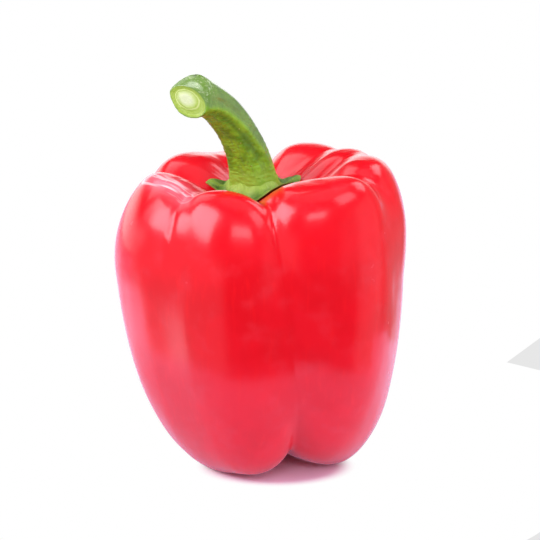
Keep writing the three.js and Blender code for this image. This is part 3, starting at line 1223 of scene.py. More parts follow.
@dataclass
class Fruit:
    """The fruit: four carpels of two ridges each round a core, with a hollow crown.

    Sizes are in millimetres and azimuths in degrees.
    """

    carpels: tuple[tuple[Ridge, Ridge], ...] = CARPELS
    core: Core = Core()
    height: float = 88.0
    lean: float = 5.0
    between_carpels: Fillet = Fillet(6.0, 1.5, 1.5, (54.0, 74.0))
    in_carpel: Fillet = Fillet(6.9, 1.7, 8.0, (69.0, 87.5))
    to_core: float = 9.0
    relief: SkinRelief = SkinRelief()
    painted_sheen: Trail = PAINTED_SHEEN_LINE
    hollow_facing: tuple[float, float] = (-0.35, 0.25)
    hollow_start: tuple[float, float] = (62.0, 74.0)
    groove_shade_half: float = 1.6
    groove_shade_fade: float = 0.4
    fold_strength: tuple[float, float] = (0.06, 0.24)
    fold_azimuth: float = -62.0
    fold_spread: float = 22.0
    foot_zone: tuple[float, float] = (30.0, 12.0)
    scar_radius: float = 2.6
    dent_radius: float = 1.2
    dent_depth: float = 0.6
    sight: float = 45.0
    farthest: float = 75.0
    over_crown: float = 110.0
    around: int = 440
    down: int = 222
    crowding: float = 0.1
    halvings: int = 26
    offset: Array = field(default_factory=lambda: np.zeros(3))

    def distances(self, x: Array, y: Array, z: Array) -> tuple[Array, Array]:
        """How far points lie outside the fruit, and how far from its seams.

        Args:
            x: to the right.
            y: behind.
            z: above the ground.

        Returns:
            The distance outside, below 0 inside, and the difference between the nearest
            two carpels, which is 0 on a seam.
        """
        upright = x - self.lean * (0.5 - z / self.height)
        in_carpel, between = self.in_carpel.at(z), self.between_carpels.at(z)
        nearest, seam = None, None
        for first, second in self.carpels:
            ridges = first.outside(upright, y, z), second.outside(upright, y, z)
            carpel = soft_min(*ridges, in_carpel)
            if nearest is None:
                nearest, whole = carpel, carpel
                seam = np.full(carpel.shape, self.farthest)
            else:
                kept = np.where(carpel < nearest, self.farthest, seam)
                seam = np.minimum(np.abs(carpel - nearest), kept)
                nearest = np.minimum(nearest, carpel)
                whole = soft_min(whole, carpel, between)
        outside = soft_min(whole, self.core.outside(upright, y, z), self.to_core)
        return outside, seam

    def crossing(self, point_at: PointsAt, low: Array, high: Array) -> Array:
        """Where lines leave the fruit.

        Args:
            point_at: gives x, y and z for a length along each line.
            low: a length at which each line is inside.
            high: a length at which each line is outside.

        Returns:
            The length at which each line crosses the skin.
        """
        for _ in range(self.halvings):
            middle = (low + high) / 2.0
            inside = self.distances(*point_at(middle))[0] < 0.0
            low = np.where(inside, middle, low)
            high = np.where(inside, high, middle)
        return (low + high) / 2.0

    def hollow_height(self, x: Array, y: Array) -> Array:
        """The height of the crown's hollow over points of the ground.

        Args:
            x: to the right.
            y: behind.

        Returns:
            The highest place of the bare skin over each point.
        """
        low = np.full(x.shape, self.sight)
        high = np.full(x.shape, self.over_crown)
        return self.crossing(lambda z: (x, y, z), low, high)

    def bare_skin(self) -> Skin:
        """The fruit's smooth skin, before its folds.

        Returns:
            The skin, with its feet worn flat on the ground.
        """
        share = np.arange(1, self.down) / self.down
        polar = np.pi * (share - self.crowding * np.sin(2.0 * np.pi * share))
        turn = np.arange(self.around) / self.around * 2.0 * np.pi
        polar, turn = np.meshgrid(polar, turn, indexing="ij")
        level = np.sin(polar)
        rays = np.stack([level * np.cos(turn), level * np.sin(turn), np.cos(polar)], axis=-1)
        return Skin(self.along(UP), self.along(rays), self.along(-UP))

    def along(self, rays: Array) -> Array:
        """The skin's points in some directions from the point of sight on the axis.

        Args:
            rays: the directions, one millimetre long.

        Returns:
            A point of the skin for each, none below the ground.
        """
        x, y, z = rays[..., 0], rays[..., 1], rays[..., 2]
        low = np.zeros(x.shape)
        high = low + self.farthest
        reach = self.crossing(lambda r: (x * r, y * r, self.sight + z * r), low, high)
        points = rays * reach[..., None] + UP * self.sight
        points[..., 2] = np.maximum(points[..., 2], 0.0)
        return points

    def make(self) -> bpy.types.Object:
        """The fruit's mesh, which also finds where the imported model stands.

        Returns:
            The piece, in metres in the shared frame.
        """
        skin = self.bare_skin()
        low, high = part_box("fruit")
        packed = (np.array(low) + np.array(high)) / (2.0 * MM)
        points = skin.points()
        own = (points.min(axis=0) + points.max(axis=0)) / 2.0
        self.offset = np.array([packed[0] - own[0], packed[1] - own[1], 0.0])
        x, y, z = skin.rings[..., 0], skin.rings[..., 1], skin.rings[..., 2]
        seam = self.distances(x, y, z)[1]
        facing_in = -(skin.normals()[..., :2] * skin.rings[..., :2]).sum(axis=-1)
        facing_in = facing_in / np.maximum(np.hypot(x, y), 1.0)
        hollow = ease(facing_in, *self.hollow_facing) * ease(z, *self.hollow_start)
        end = np.hypot(x - self.lean / 2.0, y)
        at_foot = ease(z, *self.foot_zone)
        dent = self.dent_depth * hump(end, self.dent_radius) * at_foot
        folded = skin.raised(self.relief.at(skin.rings, seam, hollow) - dent)
        folded.rings[..., 2] = np.maximum(folded.rings[..., 2], 0.0)
        azimuth = np.degrees(np.arctan2(x, -y))
        beside = hump(turn_between(azimuth, self.fold_azimuth), self.fold_spread)
        least, more = self.fold_strength
        marks = {
            # The seams' painted shade, weaker inside the crown's hollow.
            "groove": hump(seam, self.groove_shade_half) * (1.0 - self.groove_shade_fade * hollow),
            "scar": hump(end, self.scar_radius) * at_foot,
            "folds": hollow * (least + more * beside),
            # Where the pale sheen and highlight streaks are painted, and the place along them.
            "painted_sheen": self.painted_sheen.at(skin.rings),
            "trail": self.painted_sheen.beside(skin.rings) * MM,
        }
        return make_piece("pepper_fruit", folded.moved(self.offset), marks)

    def dress(self, piece: bpy.types.Object, finish: SkinFinish) -> None:
        """Gives the fruit its finish and its place on the body."""
        piece.data.materials.append(finish.material())
        stand_in(piece, "fruit")


# ------------------------------------------------------------------ the calyx


@dataclass(frozen=True)
class Sepal:
    """One tip of the calyx's edge, in degrees and millimetres."""

    azimuth: float
    reach: float
    spread: float
    curl: float


SEPALS = (
    Sepal(-88, 6.3, 14, 2.5),
    Sepal(-44, 4.9, 20, 0.2),
    Sepal(16, 8.2, 23, 0.1),
    Sepal(50, 7.4, 22, 0.1),
    Sepal(101, 6.2, 27, 0.9),
    Sepal(150, 4.0, 16, 0.4),
)


@dataclass
class Calyx:
    """The green calyx on the hollow's floor, with a ribbed collar round the stem's foot.

    Sizes are in millimetres and spreads in degrees. Zones that start with "edge" are shares
    of the way out to its edge.
    """

    fruit: Fruit
    sepals: tuple[Sepal, ...] = SEPALS
    x: float = -2.8
    y: float = 0.4
    reach: float = 7.3
    blade: float = 1.0
    gap: float = 0.05
    collar_radius: float = 6.2
    collar_foot: float = 9.4
    collar_forward: float = 1.4
    collar_height: float = 82.5
    collar_power: float = 1.15
    rib_height: float = 0.55
    rib_spread: float = 5.0
    rib_start: tuple[float, float] = (7.0, 9.0)
    flutes: float = 13.0
    flute_height: float = 0.5
    flute_middle: float = 8.8
    flute_half: float = 2.2
    edge_curl: tuple[float, float] = (0.6, 1.0)
    edge_rib: tuple[float, float] = (0.8, 1.0)
    edge_rim: tuple[float, float] = (0.9, 1.0)
    under_curl: float = 0.3
    ragged: tuple[Lumps, ...] = (
        Lumps((1.6, 1.6, 1.0), 11, 0.35),
        Lumps((0.6, 0.6, 1.0), 12, 0.25),
    )
    pebbles: tuple[Lumps, ...] = (
        Lumps((1.1, 1.1, 1.0), 13, 0.16),
        Lumps((0.5, 0.5, 1.0), 14, 0.10),
    )
    around: int = 480
    down: int = 120

    def outline(self, turn: Array) -> tuple[Array, Array, Array]:
        """The calyx's edge and ribs.

        Args:
            turn: angles round the collar in radians, 0 on its right.

        Returns:
            How far the calyx reaches and how much its edge curls up, in millimetres, and
            the strength of its ribs, for each angle.
        """
        reach = np.full(turn.shape, self.reach)
        curl = np.zeros(turn.shape)
        rib = np.zeros(turn.shape)
        for sepal in self.sepals:
            away = turn_between(90.0 + np.degrees(turn), sepal.azimuth)
            reach = reach + sepal.reach * hump(away, sepal.spread)
            curl = curl + sepal.curl * hump(away, sepal.spread)
            rib = np.maximum(rib, hump(away, self.rib_spread))
        edge = [np.cos(turn) * self.reach, np.sin(turn) * self.reach, np.zeros(turn.shape)]
        for lumps in self.ragged:
            reach = reach + lumps.at(np.stack(edge, axis=-1))
        return reach, curl, rib

    def make(self) -> bpy.types.Object:
        """The calyx's mesh.

        Returns:
            The piece, in metres in the shared frame.
        """
        polar = np.pi * np.arange(1, self.down) / self.down
        turn = np.arange(self.around) / self.around * 2.0 * np.pi
        polar, turn = np.meshgrid(polar, turn, indexing="ij")
        share, lift = np.sin(polar), np.cos(polar)
        azimuth = 90.0 + np.degrees(turn)
        reach, curl, rib = self.outline(turn)
        radius = reach * share
        x = self.x + radius * np.cos(turn)
        y = self.y + radius * np.sin(turn)
        floor = self.fruit.hollow_height(x, y) + self.gap
        lifted = curl * ease(share, *self.edge_curl)
        under = floor + self.under_curl * lifted
        foot = self.collar_foot + self.collar_forward * np.cos(np.radians(azimuth))
        near = 1.0 - ease(radius, self.collar_radius, foot)
        above = floor + lifted + self.blade
        top = above + (self.collar_height - above) * near**self.collar_power
        raised = self.rib_height * rib * ease(radius, *self.rib_start)
        raised = raised * (1.0 - ease(share, *self.edge_rib))
        flutes = np.cos(np.radians(turn_between(azimuth, 0.0) * self.flutes)) / 2.0
        ring = hump(radius - self.flute_middle, self.flute_half)
        raised = raised + self.flute_height * flutes * ring
        spread = np.stack([x, y, np.zeros(x.shape)], axis=-1)
        for lumps in self.pebbles:
            raised = raised + lumps.at(spread)
        z = under + (top + raised - under) * (1.0 + lift) / 2.0
        centre = np.array([self.x, self.y, 0.0])
        first = centre + UP * self.collar_height
        last = centre + UP * float(floor[-1, 0])
        skin = Skin(first, np.stack([x, y, z], axis=-1), last).moved(self.fruit.offset)
        rim = ease(share, *self.edge_rim)
        marks = {"collar": near, "rim": rim, "rib": rib * (1.0 - near)}
        return make_piece("pepper_calyx", skin, marks)

    def dress(self, piece: bpy.types.Object, finish: CalyxFinish) -> None:
        """Gives the calyx its finish and its place on the body."""
        piece.data.materials.append(finish.material())
        stand_in(piece, "calyx")


# ------------------------------------------------------------------ the stem


@dataclass(frozen=True)
class Route:
    """A smooth curve through points, with even speed along its length."""

    points: tuple[tuple[float, float, float], ...]
    steps: int = 200

    def samples(self) -> Array:
        """Closely spaced points of the curve.

        Returns:
            The points of a centripetal Catmull-Rom curve, from its first to its last.
        """
        given = np.array(self.points, float)
        first, last = 2.0 * given[0] - given[1], 2.0 * given[-1] - given[-2]
        padded = np.vstack([first, given, last])
        share = np.linspace(0.0, 1.0, self.steps, endpoint=False)[:, None]
        pieces = []
        for before, start, end, after in zip(padded, padded[1:], padded[2:], padded[3:]):
            in_gap = np.linalg.norm(start - before) ** 0.5
            gap = np.linalg.norm(end - start) ** 0.5
            out_gap = np.linalg.norm(after - end) ** 0.5
            straight = (end - start) / gap
            leave = (start - before) / in_gap - (end - before) / (in_gap + gap) + straight
            arrive = straight - (after - start) / (gap + out_gap) + (after - end) / out_gap
            pieces.append(cubic(start, end, leave * gap, arrive * gap, share))
        return np.vstack(pieces + [given[-1:]])

    def at(self, share: Array) -> tuple[Array, Array, float]:
        """Places along the curve.

        Args:
            share: shares of the curve's length.

        Returns:
            The points, the directions of travel there and the curve's length.
        """
        line = self.samples()
        steps = np.linalg.norm(np.diff(line, axis=0), axis=1)
        travelled = np.concatenate([[0.0], np.cumsum(steps)])
        travel = np.gradient(line, travelled, axis=0)
        length = float(travelled[-1])
        reach = share * length
        place = np.stack([np.interp(reach, travelled, part) for part in line.T], axis=-1)
        way = np.stack([np.interp(reach, travelled, part) for part in travel.T], axis=-1)
        return place, unit(way), length


@dataclass(frozen=True)
class BarkRelief:
    """The stem's ridge, bulge, grooves, wrinkles and pebbles.

    Sizes are in millimetres. Turns are in degrees round the stem, and "along" stands for
    shares of its length.
    """

    ridge_turns: tuple[float, float] = (66.0, 122.0)
    ridge_height: float = 0.5
    ridge_half: float = 11.0
    beside_ridge: float = 22.0
    hollow_depth: float = 0.22
    hollow_half: float = 12.0
    ridge_end_along: tuple[float, float] = (0.8, 0.95)
    grooves: Lumps = Lumps((2.3, 2.3, 26.0), 21, 0.22)
    fine: Lumps = Lumps((0.7, 0.7, 2.2), 22, 0.05)
    bulge_height: float = 0.75
    bulge_along: tuple[float, float] = (0.68, 0.86)
    bulge_turn: float = -8.0
    bulge_half: float = 55.0
    bend_turn: float = 150.0
    bend_half: float = 55.0
    bend_along: float = 0.66
    bend_length: float = 0.16
    wrinkle_height: float = 0.08
    wrinkle_apart: float = 1.7
    wander: Lumps = Lumps((2.6, 2.6, 3.0), 23, 6.0)
    pebbles: Lumps = Lumps((0.8, 0.8, 0.6), 24, 0.12)
    pebbles_end_along: tuple[float, float] = (0.35, 0.6)

    def ridge_turn(self, share: Array) -> Array:
        """The turn at which the ridge lies at shares of the length."""
        start, end = self.ridge_turns
        return start + (end - start) * share

    def at(self, stalk: Array, share: Array, turn: Array) -> Array:
        """How far the bark is raised.

        Args:
            stalk: places on the straightened stem.
            share: their shares of its length.
            turn: angles round the stem in degrees: 0 is its upper side, 90 its right.

        Returns:
            A height for each place, in millimetres.
        """
        away = turn_between(turn, 0.0) - self.ridge_turn(share)
        hollow = self.hollow_depth * hump(away - self.beside_ridge, self.hollow_half)
        ridge = self.ridge_height * hump(away, self.ridge_half) - hollow
        ridge = ridge * (1.0 - ease(share, *self.ridge_end_along))
        grooves = self.grooves.at(stalk)
        fine = self.fine.at(stalk)
        outer = hump(turn_between(turn, self.bulge_turn), self.bulge_half)
        bulge = self.bulge_height * ease(share, *self.bulge_along) * outer
        inner = hump(turn_between(turn, self.bend_turn), self.bend_half)
        inner = inner * hump(share - self.bend_along, self.bend_length)
        wander = self.wander.at(stalk)
        ripple = np.sin(2.0 * np.pi * stalk[..., 2] / self.wrinkle_apart + wander)
        wrinkles = self.wrinkle_height * inner * ripple
        pebbles = self.pebbles.at(stalk) * (1.0 - ease(share, *self.pebbles_end_along))
        return bulge + ridge + grooves + fine + wrinkles + pebbles


@dataclass(frozen=True)
class BarkZones:
    """Where the marks of the stem's bark lie.

    Turns are in degrees round the stem, "from_ridge" for those that start at its ridge, and
    "along" stands for shares of its length.
    """

    upper_from_ridge: tuple[float, float] = (2.0, -10.0)
    upper_turns: tuple[float, float] = (-115.0, -85.0)
    upper_along: tuple[float, float] = (0.05, 0.3)
    ridge_from_ridge: float = 2.0
    ridge_half: float = 10.0
    hollow_from_ridge: float = 22.0
    hollow_half: float = 11.0
    start_along: tuple[float, float] = (0.1, 0.3)
    hollow_end_along: tuple[float, float] = (0.84, 0.6)
    foot_along: tuple[float, float] = (0.0, 0.22)
    bend_turn: float = 140.0
    bend_half: float = 60.0
    bend_along: float = 0.68
    bend_length: float = 0.17
    scuff_before: float = 0.03
    scuff_beyond: float = 0.02
    scuff_upper: tuple[float, float] = (-0.4, 0.3)

    def marks(self, share: Array, turn: Array, ridge_turn: Array, end: Array) -> dict[str, Array]:
        """The marks of some places on the bark.

        Args:
            share: their shares of the stem's length.
            turn: angles round the stem in degrees.
            ridge_turn: the turn at which its ridge lies.
            end: the share at which the bark starts to round over to the cut.

        Returns:
            The marks' values from 0 to 1, by name.
        """
        away = turn_between(turn, 0.0)
        from_ridge = away - ridge_turn
        started = ease(share, *self.start_along)
        upper = ease(from_ridge, *self.upper_from_ridge) * ease(away, *self.upper_turns)
        hollow = hump(from_ridge - self.hollow_from_ridge, self.hollow_half)
        bend = hump(turn_between(turn, self.bend_turn), self.bend_half)
        scuff = ease(share, end - self.scuff_before, end + self.scuff_beyond)
        return {
            "upper": upper * ease(share, *self.upper_along),
            # The "ridge" mark is where light is painted along the ridge, "hollow" where shade is
            # painted beside it.
            "ridge": hump(from_ridge - self.ridge_from_ridge, self.ridge_half) * started,
            "hollow": hollow * started * ease(share, *self.hollow_end_along),
            "foot": 1.0 - ease(share, *self.foot_along),
            "bend": bend * hump(share - self.bend_along, self.bend_length),
            "scuff": scuff * ease(np.cos(np.radians(turn)), *self.scuff_upper),
        }


@dataclass(frozen=True)
class Profile:
    """The stem's rings before it is bent, from its foot to the middle of its cut.

    Share is how far along the stem each point is, up and right are its place about the
    middle line in millimetres, and sink is its height where the foot goes below the route's
    start. Out is its share of the way from the cut's middle to the edge, 1 all over the
    bark. End is the share of the length at which the bark starts to round over to the cut.
    """

    share: Array
    up: Array
    right: Array
    sink: Array
    out: Array
    end: Array


@dataclass
class Stem:
    """The bent stem, which flares at its foot and ends in a slanted, hollowed cut.

    Sizes are in millimetres and turns in degrees. Names with "along" stand for shares of
    its length, and names with "out" for shares of the way out from the cut's middle.
    """

    offset: Array
    route: Route = Route(
        (
            (-2.8, 0.4, 81),
            (-4, 0, 87),
            (-6, -1.3, 93),
            (-9.2, -3.8, 99.6),
            (-14, -8.4, 106),
            (-21, -16, 110),
        )
    )
    radii: tuple[float, ...] = (6.9, 5.9, 5.3, 5.0, 4.9, 6.4)
    relief: BarkRelief = BarkRelief()
    zones: BarkZones = BarkZones()
    oval: float = 0.11
    oval_turn: float = 138.0
    oval_along: tuple[float, float] = (0.7, 1.0)
    upright_along: tuple[float, float] = (0.0, 0.3)
    level_way: tuple[float, float, float] = (1.0, -1.0, 0.0)
    foot_depth: float = 1.6
    foot_flare: float = 0.5
    edges: int = 5
    edge_height: float = 0.045
    edge_turn: float = 20.0
    edge_end_along: tuple[float, float] = (0.72, 0.95)
    cut_size: tuple[float, float] = (5.6, 3.7)
    cut_turn: float = 109.0
    cut_middle: tuple[float, float] = (-1.7, -0.75)
    cut_slant: float = 4.5
    cut_edge: float = 0.3
    worn_length: tuple[float, float] = (0.6, 0.55)
    dish_depth: float = 0.45
    dish_out: tuple[float, float] = (1.0, 0.8)
    pith_middle: tuple[float, float] = (-1.1, -1.3)
    pith_height: float = 0.35
    pith_out: tuple[float, float] = (0.62, 0.4)
    rings_out: tuple[float, float] = (1.0, 0.6)
    around: int = 200
    foot_rows: int = 8
    body_rows: int = 230
    rim_rows: int = 16
    cut_rows: int = 26

    def radius_at(self, share: Array) -> Array:
        """The stem's usual radius at shares of its length.

        Args:
            share: shares of the route's length.

        Returns:
            Radii that pass smoothly through the given ones.
        """
        given = np.array(self.radii)
        slopes = np.gradient(given)
        place = np.clip(share, 0.0, 1.0) * (len(given) - 1)
        low = np.minimum(np.floor(place).astype(int), len(given) - 2)
        high = low + 1
        return cubic(given[low], given[high], slopes[low], slopes[high], place - low)

    def section(self, share: Array, turn: Array, length: float) -> Array:
        """The stem's radius round its section, with its edges, grooves and wrinkles.

        Args:
            share: shares of the route's length.
            turn: angles round the stem in degrees: 0 is its upper side, 90 its right.
            length: the route's length in millimetres.

        Returns:
            A radius for each share and angle, in millimetres.
        """
        usual = self.radius_at(share)
        edged = self.edge_height * (1.0 - ease(share, *self.edge_end_along))
        wide = self.oval * ease(share, *self.oval_along)
        shape = 1.0 + edged * np.cos(np.radians(self.edges * (turn + self.edge_turn)))
        shape = shape + wide * np.cos(np.radians(2.0 * (turn - self.oval_turn)))
        up, right = usual * np.cos(np.radians(turn)), usual * np.sin(np.radians(turn))
        stalk = np.stack([up, right, share * length], axis=-1)
        return usual * shape + self.relief.at(stalk, share, turn)

    def in_cut(self, up: Array, right: Array, middle: tuple[float, float]) -> tuple[Array, Array]:
        """Where points of the cut lie along its ellipse's long and short axes.

        Args:
            up: how far they are above the stem's middle line, in millimetres.
            right: how far they are to its right.
            middle: what to measure from, up and right of the middle line.

        Returns:
            Their places, as shares of the ellipse's two half sizes.
        """
        turn = np.radians(self.cut_turn)
        up = up - middle[0]
        right = right - middle[1]
        long = up * np.cos(turn) + right * np.sin(turn)
        short = right * np.cos(turn) - up * np.sin(turn)
        return long / self.cut_size[0], short / self.cut_size[1]

    def cut_radius(self, turn: Array) -> Array:
        """How far the cut's edge is from the stem's middle line.

        Args:
            turn: angles round the stem in degrees.

        Returns:
            A radius for each angle, in millimetres.
        """
        way = self.in_cut(np.cos(np.radians(turn)), np.sin(np.radians(turn)), (0.0, 0.0))
        start = self.in_cut(np.zeros(1), np.zeros(1), self.cut_middle)
        square = way[0] ** 2 + way[1] ** 2
        cross = way[0] * start[0] + way[1] * start[1]
        level = start[0] ** 2 + start[1] ** 2 - 1.0
        return (np.sqrt(cross**2 - square * level) - cross) / square

    def cut_share(self, right: Array, length: float) -> Array:
        """The shares of the stem's length where the slanted cut lies.

        Args:
            right: how far points of the cut are to the right of the stem's middle line.
            length: the route's length in millimetres.

        Returns:
            A share for each point.
        """
        return 1.0 - self.cut_slant * (1.0 + right / self.radii[-1]) / (2.0 * length)

    def profile(self, turn: Array, length: float) -> Profile:
        """The stem's rings before it is bent.

        Args:
            turn: angles of a ring's points round the stem in degrees.
            length: the route's length in millimetres.

        Returns:
            The foot's rings, the body's, the worn rim's and the cut's.
        """
        foot = np.linspace(-self.foot_depth, 0.0, self.foot_rows, endpoint=False)
        body = np.linspace(0.0, 1.0, self.body_rows)
        rim = np.linspace(0.0, 1.0, self.rim_rows + 1)[1:]
        cut = np.linspace(1.0, 0.0, self.cut_rows, endpoint=False)[1:, None]
        first_body = len(foot)
        first_rim = first_body + len(body)
        first_cut = first_rim + len(rim)
        rows = first_cut + len(cut)
        level, upright = np.sin(np.radians(turn)), np.cos(np.radians(turn))
        end_radius = self.section(np.ones(turn.shape), turn, length)
        edge = np.minimum(self.cut_radius(turn), end_radius - self.cut_edge)
        least, more = self.worn_length
        worn = (least + more * (end_radius - edge)) / length
        end = self.cut_share(edge * level, length) - worn

        corner = np.radians(90.0 * rim)[:, None]
        share = np.ones((rows, len(turn)))
        share[:first_body] = 0.0
        share[first_body:first_rim] = body[:, None] * end
        share[first_rim:first_cut] = end + np.sin(corner) * worn
        radius = self.section(share, turn, length)
        radius[:first_body] += self.foot_flare * (foot[:, None] / self.foot_depth) ** 2
        radius[first_rim:first_cut] += (1.0 - np.cos(corner)) * (edge - radius[first_rim:first_cut])
        up, right = radius * upright, radius * level
        middle_up, middle_right = self.cut_middle
        up[first_cut:] = middle_up + cut * (edge * upright - middle_up)
        right[first_cut:] = middle_right + cut * (edge * level - middle_right)
        share[first_cut:] = self.cut_share(right[first_cut:], length)
        sink = np.zeros((rows, 1))
        sink[:first_body, 0] = foot
        out = np.ones(share.shape)
        out[first_cut:] = cut
        return Profile(share, up, right, sink, out, end)

    def dish(self, out: Array) -> Array:
        """How far the cut is hollowed, at shares of the way out from its middle."""
        pith = self.pith_height * ease(out, *self.pith_out)
        return self.dish_depth * ease(out, *self.dish_out) - pith

    def bent(self, profile: Profile, length: float) -> Skin:
        """The stem's skin along its route.

        Args:
            profile: its rings before it is bent.
            length: the route's length in millimetres.

        Returns:
            The skin, from the cut's middle to the foot.
        """
        point, along, _ = self.route.at(profile.share)
        tipped = ease(profile.share, *self.upright_along)[..., None]
        along = unit(along * tipped + UP * (1.0 - tipped))
        side = unit(np.cross(np.array(self.level_way), along))
        across = np.cross(along, side)
        dish = self.dish(profile.out)[..., None]
        rings = point + across * profile.right[..., None] - side * profile.up[..., None]
        rings = rings + profile.sink[..., None] * UP - along * dish
        middle_up, middle_right = self.cut_middle
        tip, way, _ = self.route.at(self.cut_share(np.array([middle_right]), length))
        middle = tip[0] + across[-1, 0] * middle_right - side[-1, 0] * middle_up
        middle = middle - way[0] * float(dish[-1, 0, 0])
        return Skin(middle, rings[::-1, ::-1], point[0, 0] - UP * self.foot_depth)

    def make(self) -> bpy.types.Object:
        """The stem's mesh.

        Returns:
            The piece, in metres in the shared frame.
        """
        turn = np.arange(self.around) / self.around * 360.0
        length = self.route.at(np.zeros(1))[2]
        profile = self.profile(turn, length)
        share, up, right, out = profile.share, profile.up, profile.right, profile.out
        round_pith = np.hypot(*self.in_cut(up, right, self.pith_middle))
        marks = self.zones.marks(share, turn, self.relief.ridge_turn(share), profile.end)
        marks["stalk"] = np.stack([up, right, share * length + profile.sink], axis=-1) * MM
        marks["cut"] = out + (round_pith - out) * ease(out, *self.rings_out)
        marks = {name: values[::-1, ::-1] for name, values in marks.items()}
        skin = self.bent(profile, length).moved(self.offset)
        return make_piece("pepper_stem", skin, marks)

    def dress(self, piece: bpy.types.Object, bark: StalkFinish, cut: CutFinish) -> None:
        """Gives the stem its two finishes and its place on the body.

        Args:
            piece: the stem.
            bark: the finish of its sides.
            cut: the finish of its cut end.
        """
        mesh = piece.data
        mesh.materials.append(bark.material())
        mesh.materials.append(cut.material())
        cut_faces = self.around * self.cut_rows
        slots = np.zeros(len(mesh.polygons), dtype=np.int32)
        slots[:cut_faces] = 1
        mesh.polygons.foreach_set("material_index", slots)
        stand_in(piece, "stem")


# ------------------------------------------------------------------ the studio


class Lamp(Enum):
    """The studio's lamps."""

    KEY = "key_softbox"
    BACK = "back_softbox"
    TOP = "top_softbox"
    BROW = "brow_strip"
    FILL = "front_fill"
    REAR = "rear_softbox"


@dataclass(frozen=True)
class Softbox:
    """A lamp's place round the pepper in degrees, its size in metres and its brightness."""

    azimuth: float
    elevation: float
    distance: float
    width: float
    height: float
    brightness: float
    mirrored: bool = True

    def hang(self, lamp: Lamp, centre: Vector) -> None:
        """Hangs the lamp, facing the pepper.

        Args:
            lamp: which lamp it is.
            centre: the point that it faces, in metres.
        """
        light = bpy.data.lights.new(lamp.value, "AREA")
        light.shape = "RECTANGLE"
        light.size, light.size_y = self.width, self.height
        light.energy = LAMP_WATTS * self.brightness * self.width * self.height
        post = bpy.data.objects.new(lamp.value, light)
        turn, rise = math.radians(self.azimuth), math.radians(self.elevation)
        level = math.cos(rise)
        way = Vector((math.sin(turn) * level, -math.cos(turn) * level, math.sin(rise)))
        post.location = centre + way * self.distance
        post.rotation_euler = way.to_track_quat("Z", "Y").to_euler()
        post.visible_glossy = self.mirrored
        bpy.context.scene.collection.objects.link(post)


@dataclass(frozen=True)
class Wall:
    """A pale wall of the room: its azimuth, half width, soft edge, top and fade, in degrees."""

    azimuth: float
    half: float
    soft: float
    top: float
    fade: float
    brightness: float

    def glow(self, sheet: NodeSheet, level: tuple[Value, Value], height: Value) -> Value:
        """What the wall gives in a direction.

        Args:
            sheet: the world's node sheet.
            level: the direction's right and back parts over its level length.
            height: its upward part.

        Returns:
            The wall's brightness there.
        """
        turn = math.radians(self.azimuth)
        facing = level[0] * math.sin(turn) - level[1] * math.cos(turn)
        edges = [math.cos(math.radians(self.half + soft)) for soft in (self.soft, -self.soft)]
        tops = [math.sin(math.radians(self.top + fade)) for fade in (self.fade, 0.0)]
        return facing.step(*edges) * height.step(*tops) * self.brightness


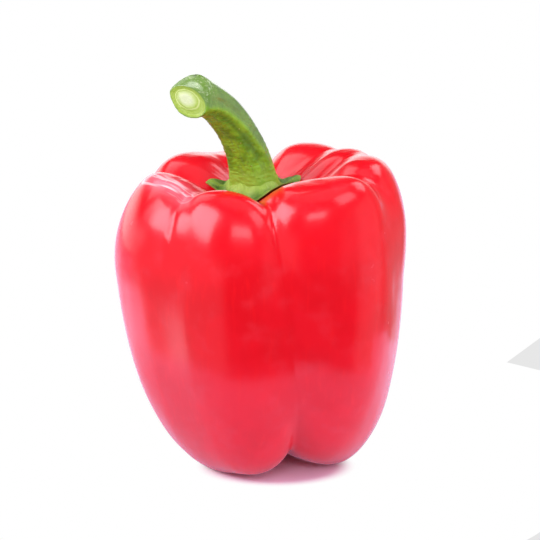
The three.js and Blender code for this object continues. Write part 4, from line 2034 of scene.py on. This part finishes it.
@dataclass(frozen=True)
class Studio:
    """A white table with a rounded front, pale walls behind, and softboxes.

    The table's sizes are in metres; the ceiling's zone is in heights of a direction.
    """

    table_half: float = 1.5
    table_front: float = 0.095
    table_side: float = 0.02
    table_right: float = 0.12
    table_notch: tuple[tuple[float, float], ...] = ((0.12, 0.04), (0.08, 0.07), (0.75, 1.2))
    front_turn: float = 78.0
    front_corners: int = 40
    walls: tuple[Wall, ...] = (
        Wall(-60, 32, 12, 10, 14, 0.8),
        Wall(-116, 24, 10, 10, 12, 3.4),
        Wall(186, 30, 10, 9, 8, 2.2),
        Wall(136, 16, 8, 16, 14, 0.3),
        Wall(88, 22, 12, 26, 12, 0.8),
    )
    ceiling: float = 1.0
    ceiling_zone: tuple[float, float] = (0.85, 0.97)
    dark: float = 0.03
    soft_dome: float = 0.75
    lamps: tuple[tuple[Lamp, Softbox], ...] = (
        (Lamp.KEY, Softbox(-69, 38, 0.70, 0.46, 0.31, 6.0)),
        (Lamp.BACK, Softbox(130, 44, 0.80, 0.46, 0.28, 2.5)),
        (Lamp.TOP, Softbox(58, 54, 0.75, 0.36, 0.26, 2.6)),
        (Lamp.BROW, Softbox(0, 39, 0.80, 0.36, 0.10, 5.0)),
        (Lamp.FILL, Softbox(56, 12, 0.80, 0.70, 0.60, 1.8, mirrored=False)),
        (Lamp.REAR, Softbox(-132, 48, 0.80, 0.52, 0.40, 1.5)),
    )

    def lay_table(self) -> None:
        """Lays the white table, which ends just before the pepper and behind it on the right."""
        far = self.table_half
        near, right = -self.table_side, self.table_right
        turns = np.radians(np.linspace(-self.front_turn, self.front_turn, self.front_corners))
        front = [(self.table_front * math.sin(t), -self.table_front * math.cos(t)) for t in turns]
        outline = [(-far, far), (-far, near)] + front + [(right, near), *self.table_notch]
        mesh = bpy.data.meshes.new("table")
        mesh.from_pydata([(x, y, 0.0) for x, y in outline], [], [tuple(range(len(outline)))])
        mesh.materials.append(FloorFinish().material())
        table = bpy.data.objects.new("table", mesh)
        bpy.context.scene.collection.objects.link(table)

    def light_world(self) -> None:
        """Lights the room: pale walls and ceiling, dark in front, and white to the camera."""
        world = bpy.data.worlds.new("room")
        bpy.context.scene.world = world
        world.use_nodes = True
        sheet = NodeSheet(world.node_tree)
        direction = sheet.add("ShaderNodeTexCoord", {}, {}, "Generated")
        x, y, z = sheet.parts(direction)
        across = (x * x + y * y + 1e-6) ** 0.5
        room = z.step(*self.ceiling_zone) * self.ceiling + self.dark
        for wall in self.walls:
            room = room + wall.glow(sheet, (x / across, y / across), z)
        mirrored = sheet.add("ShaderNodeLightPath", {}, {}, "Is Glossy Ray")
        room = self.soft_dome + (room - self.soft_dome) * mirrored
        path = sheet.add("ShaderNodeLightPath", {}, {}, "Is Camera Ray")
        strength = room + (1.0 - room) * path
        background = sheet.add("ShaderNodeBackground", {}, {"Strength": strength})
        sheet.add("ShaderNodeOutputWorld", {}, {"Surface": background})

    def build(self, centre: Vector) -> None:
        """Lays the table, lights the room and hangs the lamps.

        Args:
            centre: the point that the lamps face, in metres.
        """
        self.lay_table()
        self.light_world()
        for lamp, softbox in self.lamps:
            softbox.hang(lamp, centre)


@dataclass(frozen=True)
class Camera:
    """A camera a little above the pepper's crown, in millimetres and degrees."""

    distance: float = 600.0
    elevation: float = 19.0
    pivot: float = 45.0
    aim: tuple[float, float, float] = (1.8, 3.1, 53.9)
    lens: float = 139.4

    def place(self, offset: Array) -> None:
        """Makes the scene's camera.

        Args:
            offset: where the fruit's axis meets the ground, in millimetres.
        """
        rise = math.radians(self.elevation)
        foot = Vector(offset)
        height = self.pivot + math.sin(rise) * self.distance
        post = foot + Vector((0.0, -math.cos(rise) * self.distance, height))
        view = bpy.data.cameras.new("camera")
        view.lens = self.lens
        view.clip_start, view.clip_end = 0.01, 10.0
        camera = bpy.data.objects.new("camera", view)
        camera.location = post * MM
        sight = foot + Vector(self.aim) - post
        camera.rotation_euler = sight.to_track_quat("-Z", "Y").to_euler()
        bpy.context.scene.collection.objects.link(camera)
        bpy.context.scene.camera = camera


def report(piece: bpy.types.Object) -> None:
    """Logs a piece's name, size and number of faces."""
    size = ", ".join(f"{side / MM:.1f}" for side in piece.dimensions)
    log.info("%s: %s mm, %d faces", piece.name, size, len(piece.data.polygons))


def main() -> None:
    """Builds the pepper, its studio and its camera."""
    logging.basicConfig(level=logging.INFO, format="%(name)s: %(message)s")
    bpy.context.scene.view_settings.view_transform = "Standard"
    fruit = Fruit()
    body = fruit.make()
    fruit.dress(body, SkinFinish())
    report(body)
    calyx = Calyx(fruit)
    leaves = calyx.make()
    calyx.dress(leaves, CalyxFinish())
    report(leaves)
    stem = Stem(fruit.offset)
    stalk = stem.make()
    stem.dress(stalk, StalkFinish(), CutFinish())
    report(stalk)
    Studio().build(Vector((0.0, 0.0, fruit.sight * MM)))
    Camera().place(fruit.offset)


if __name__ == "__main__":
    main()
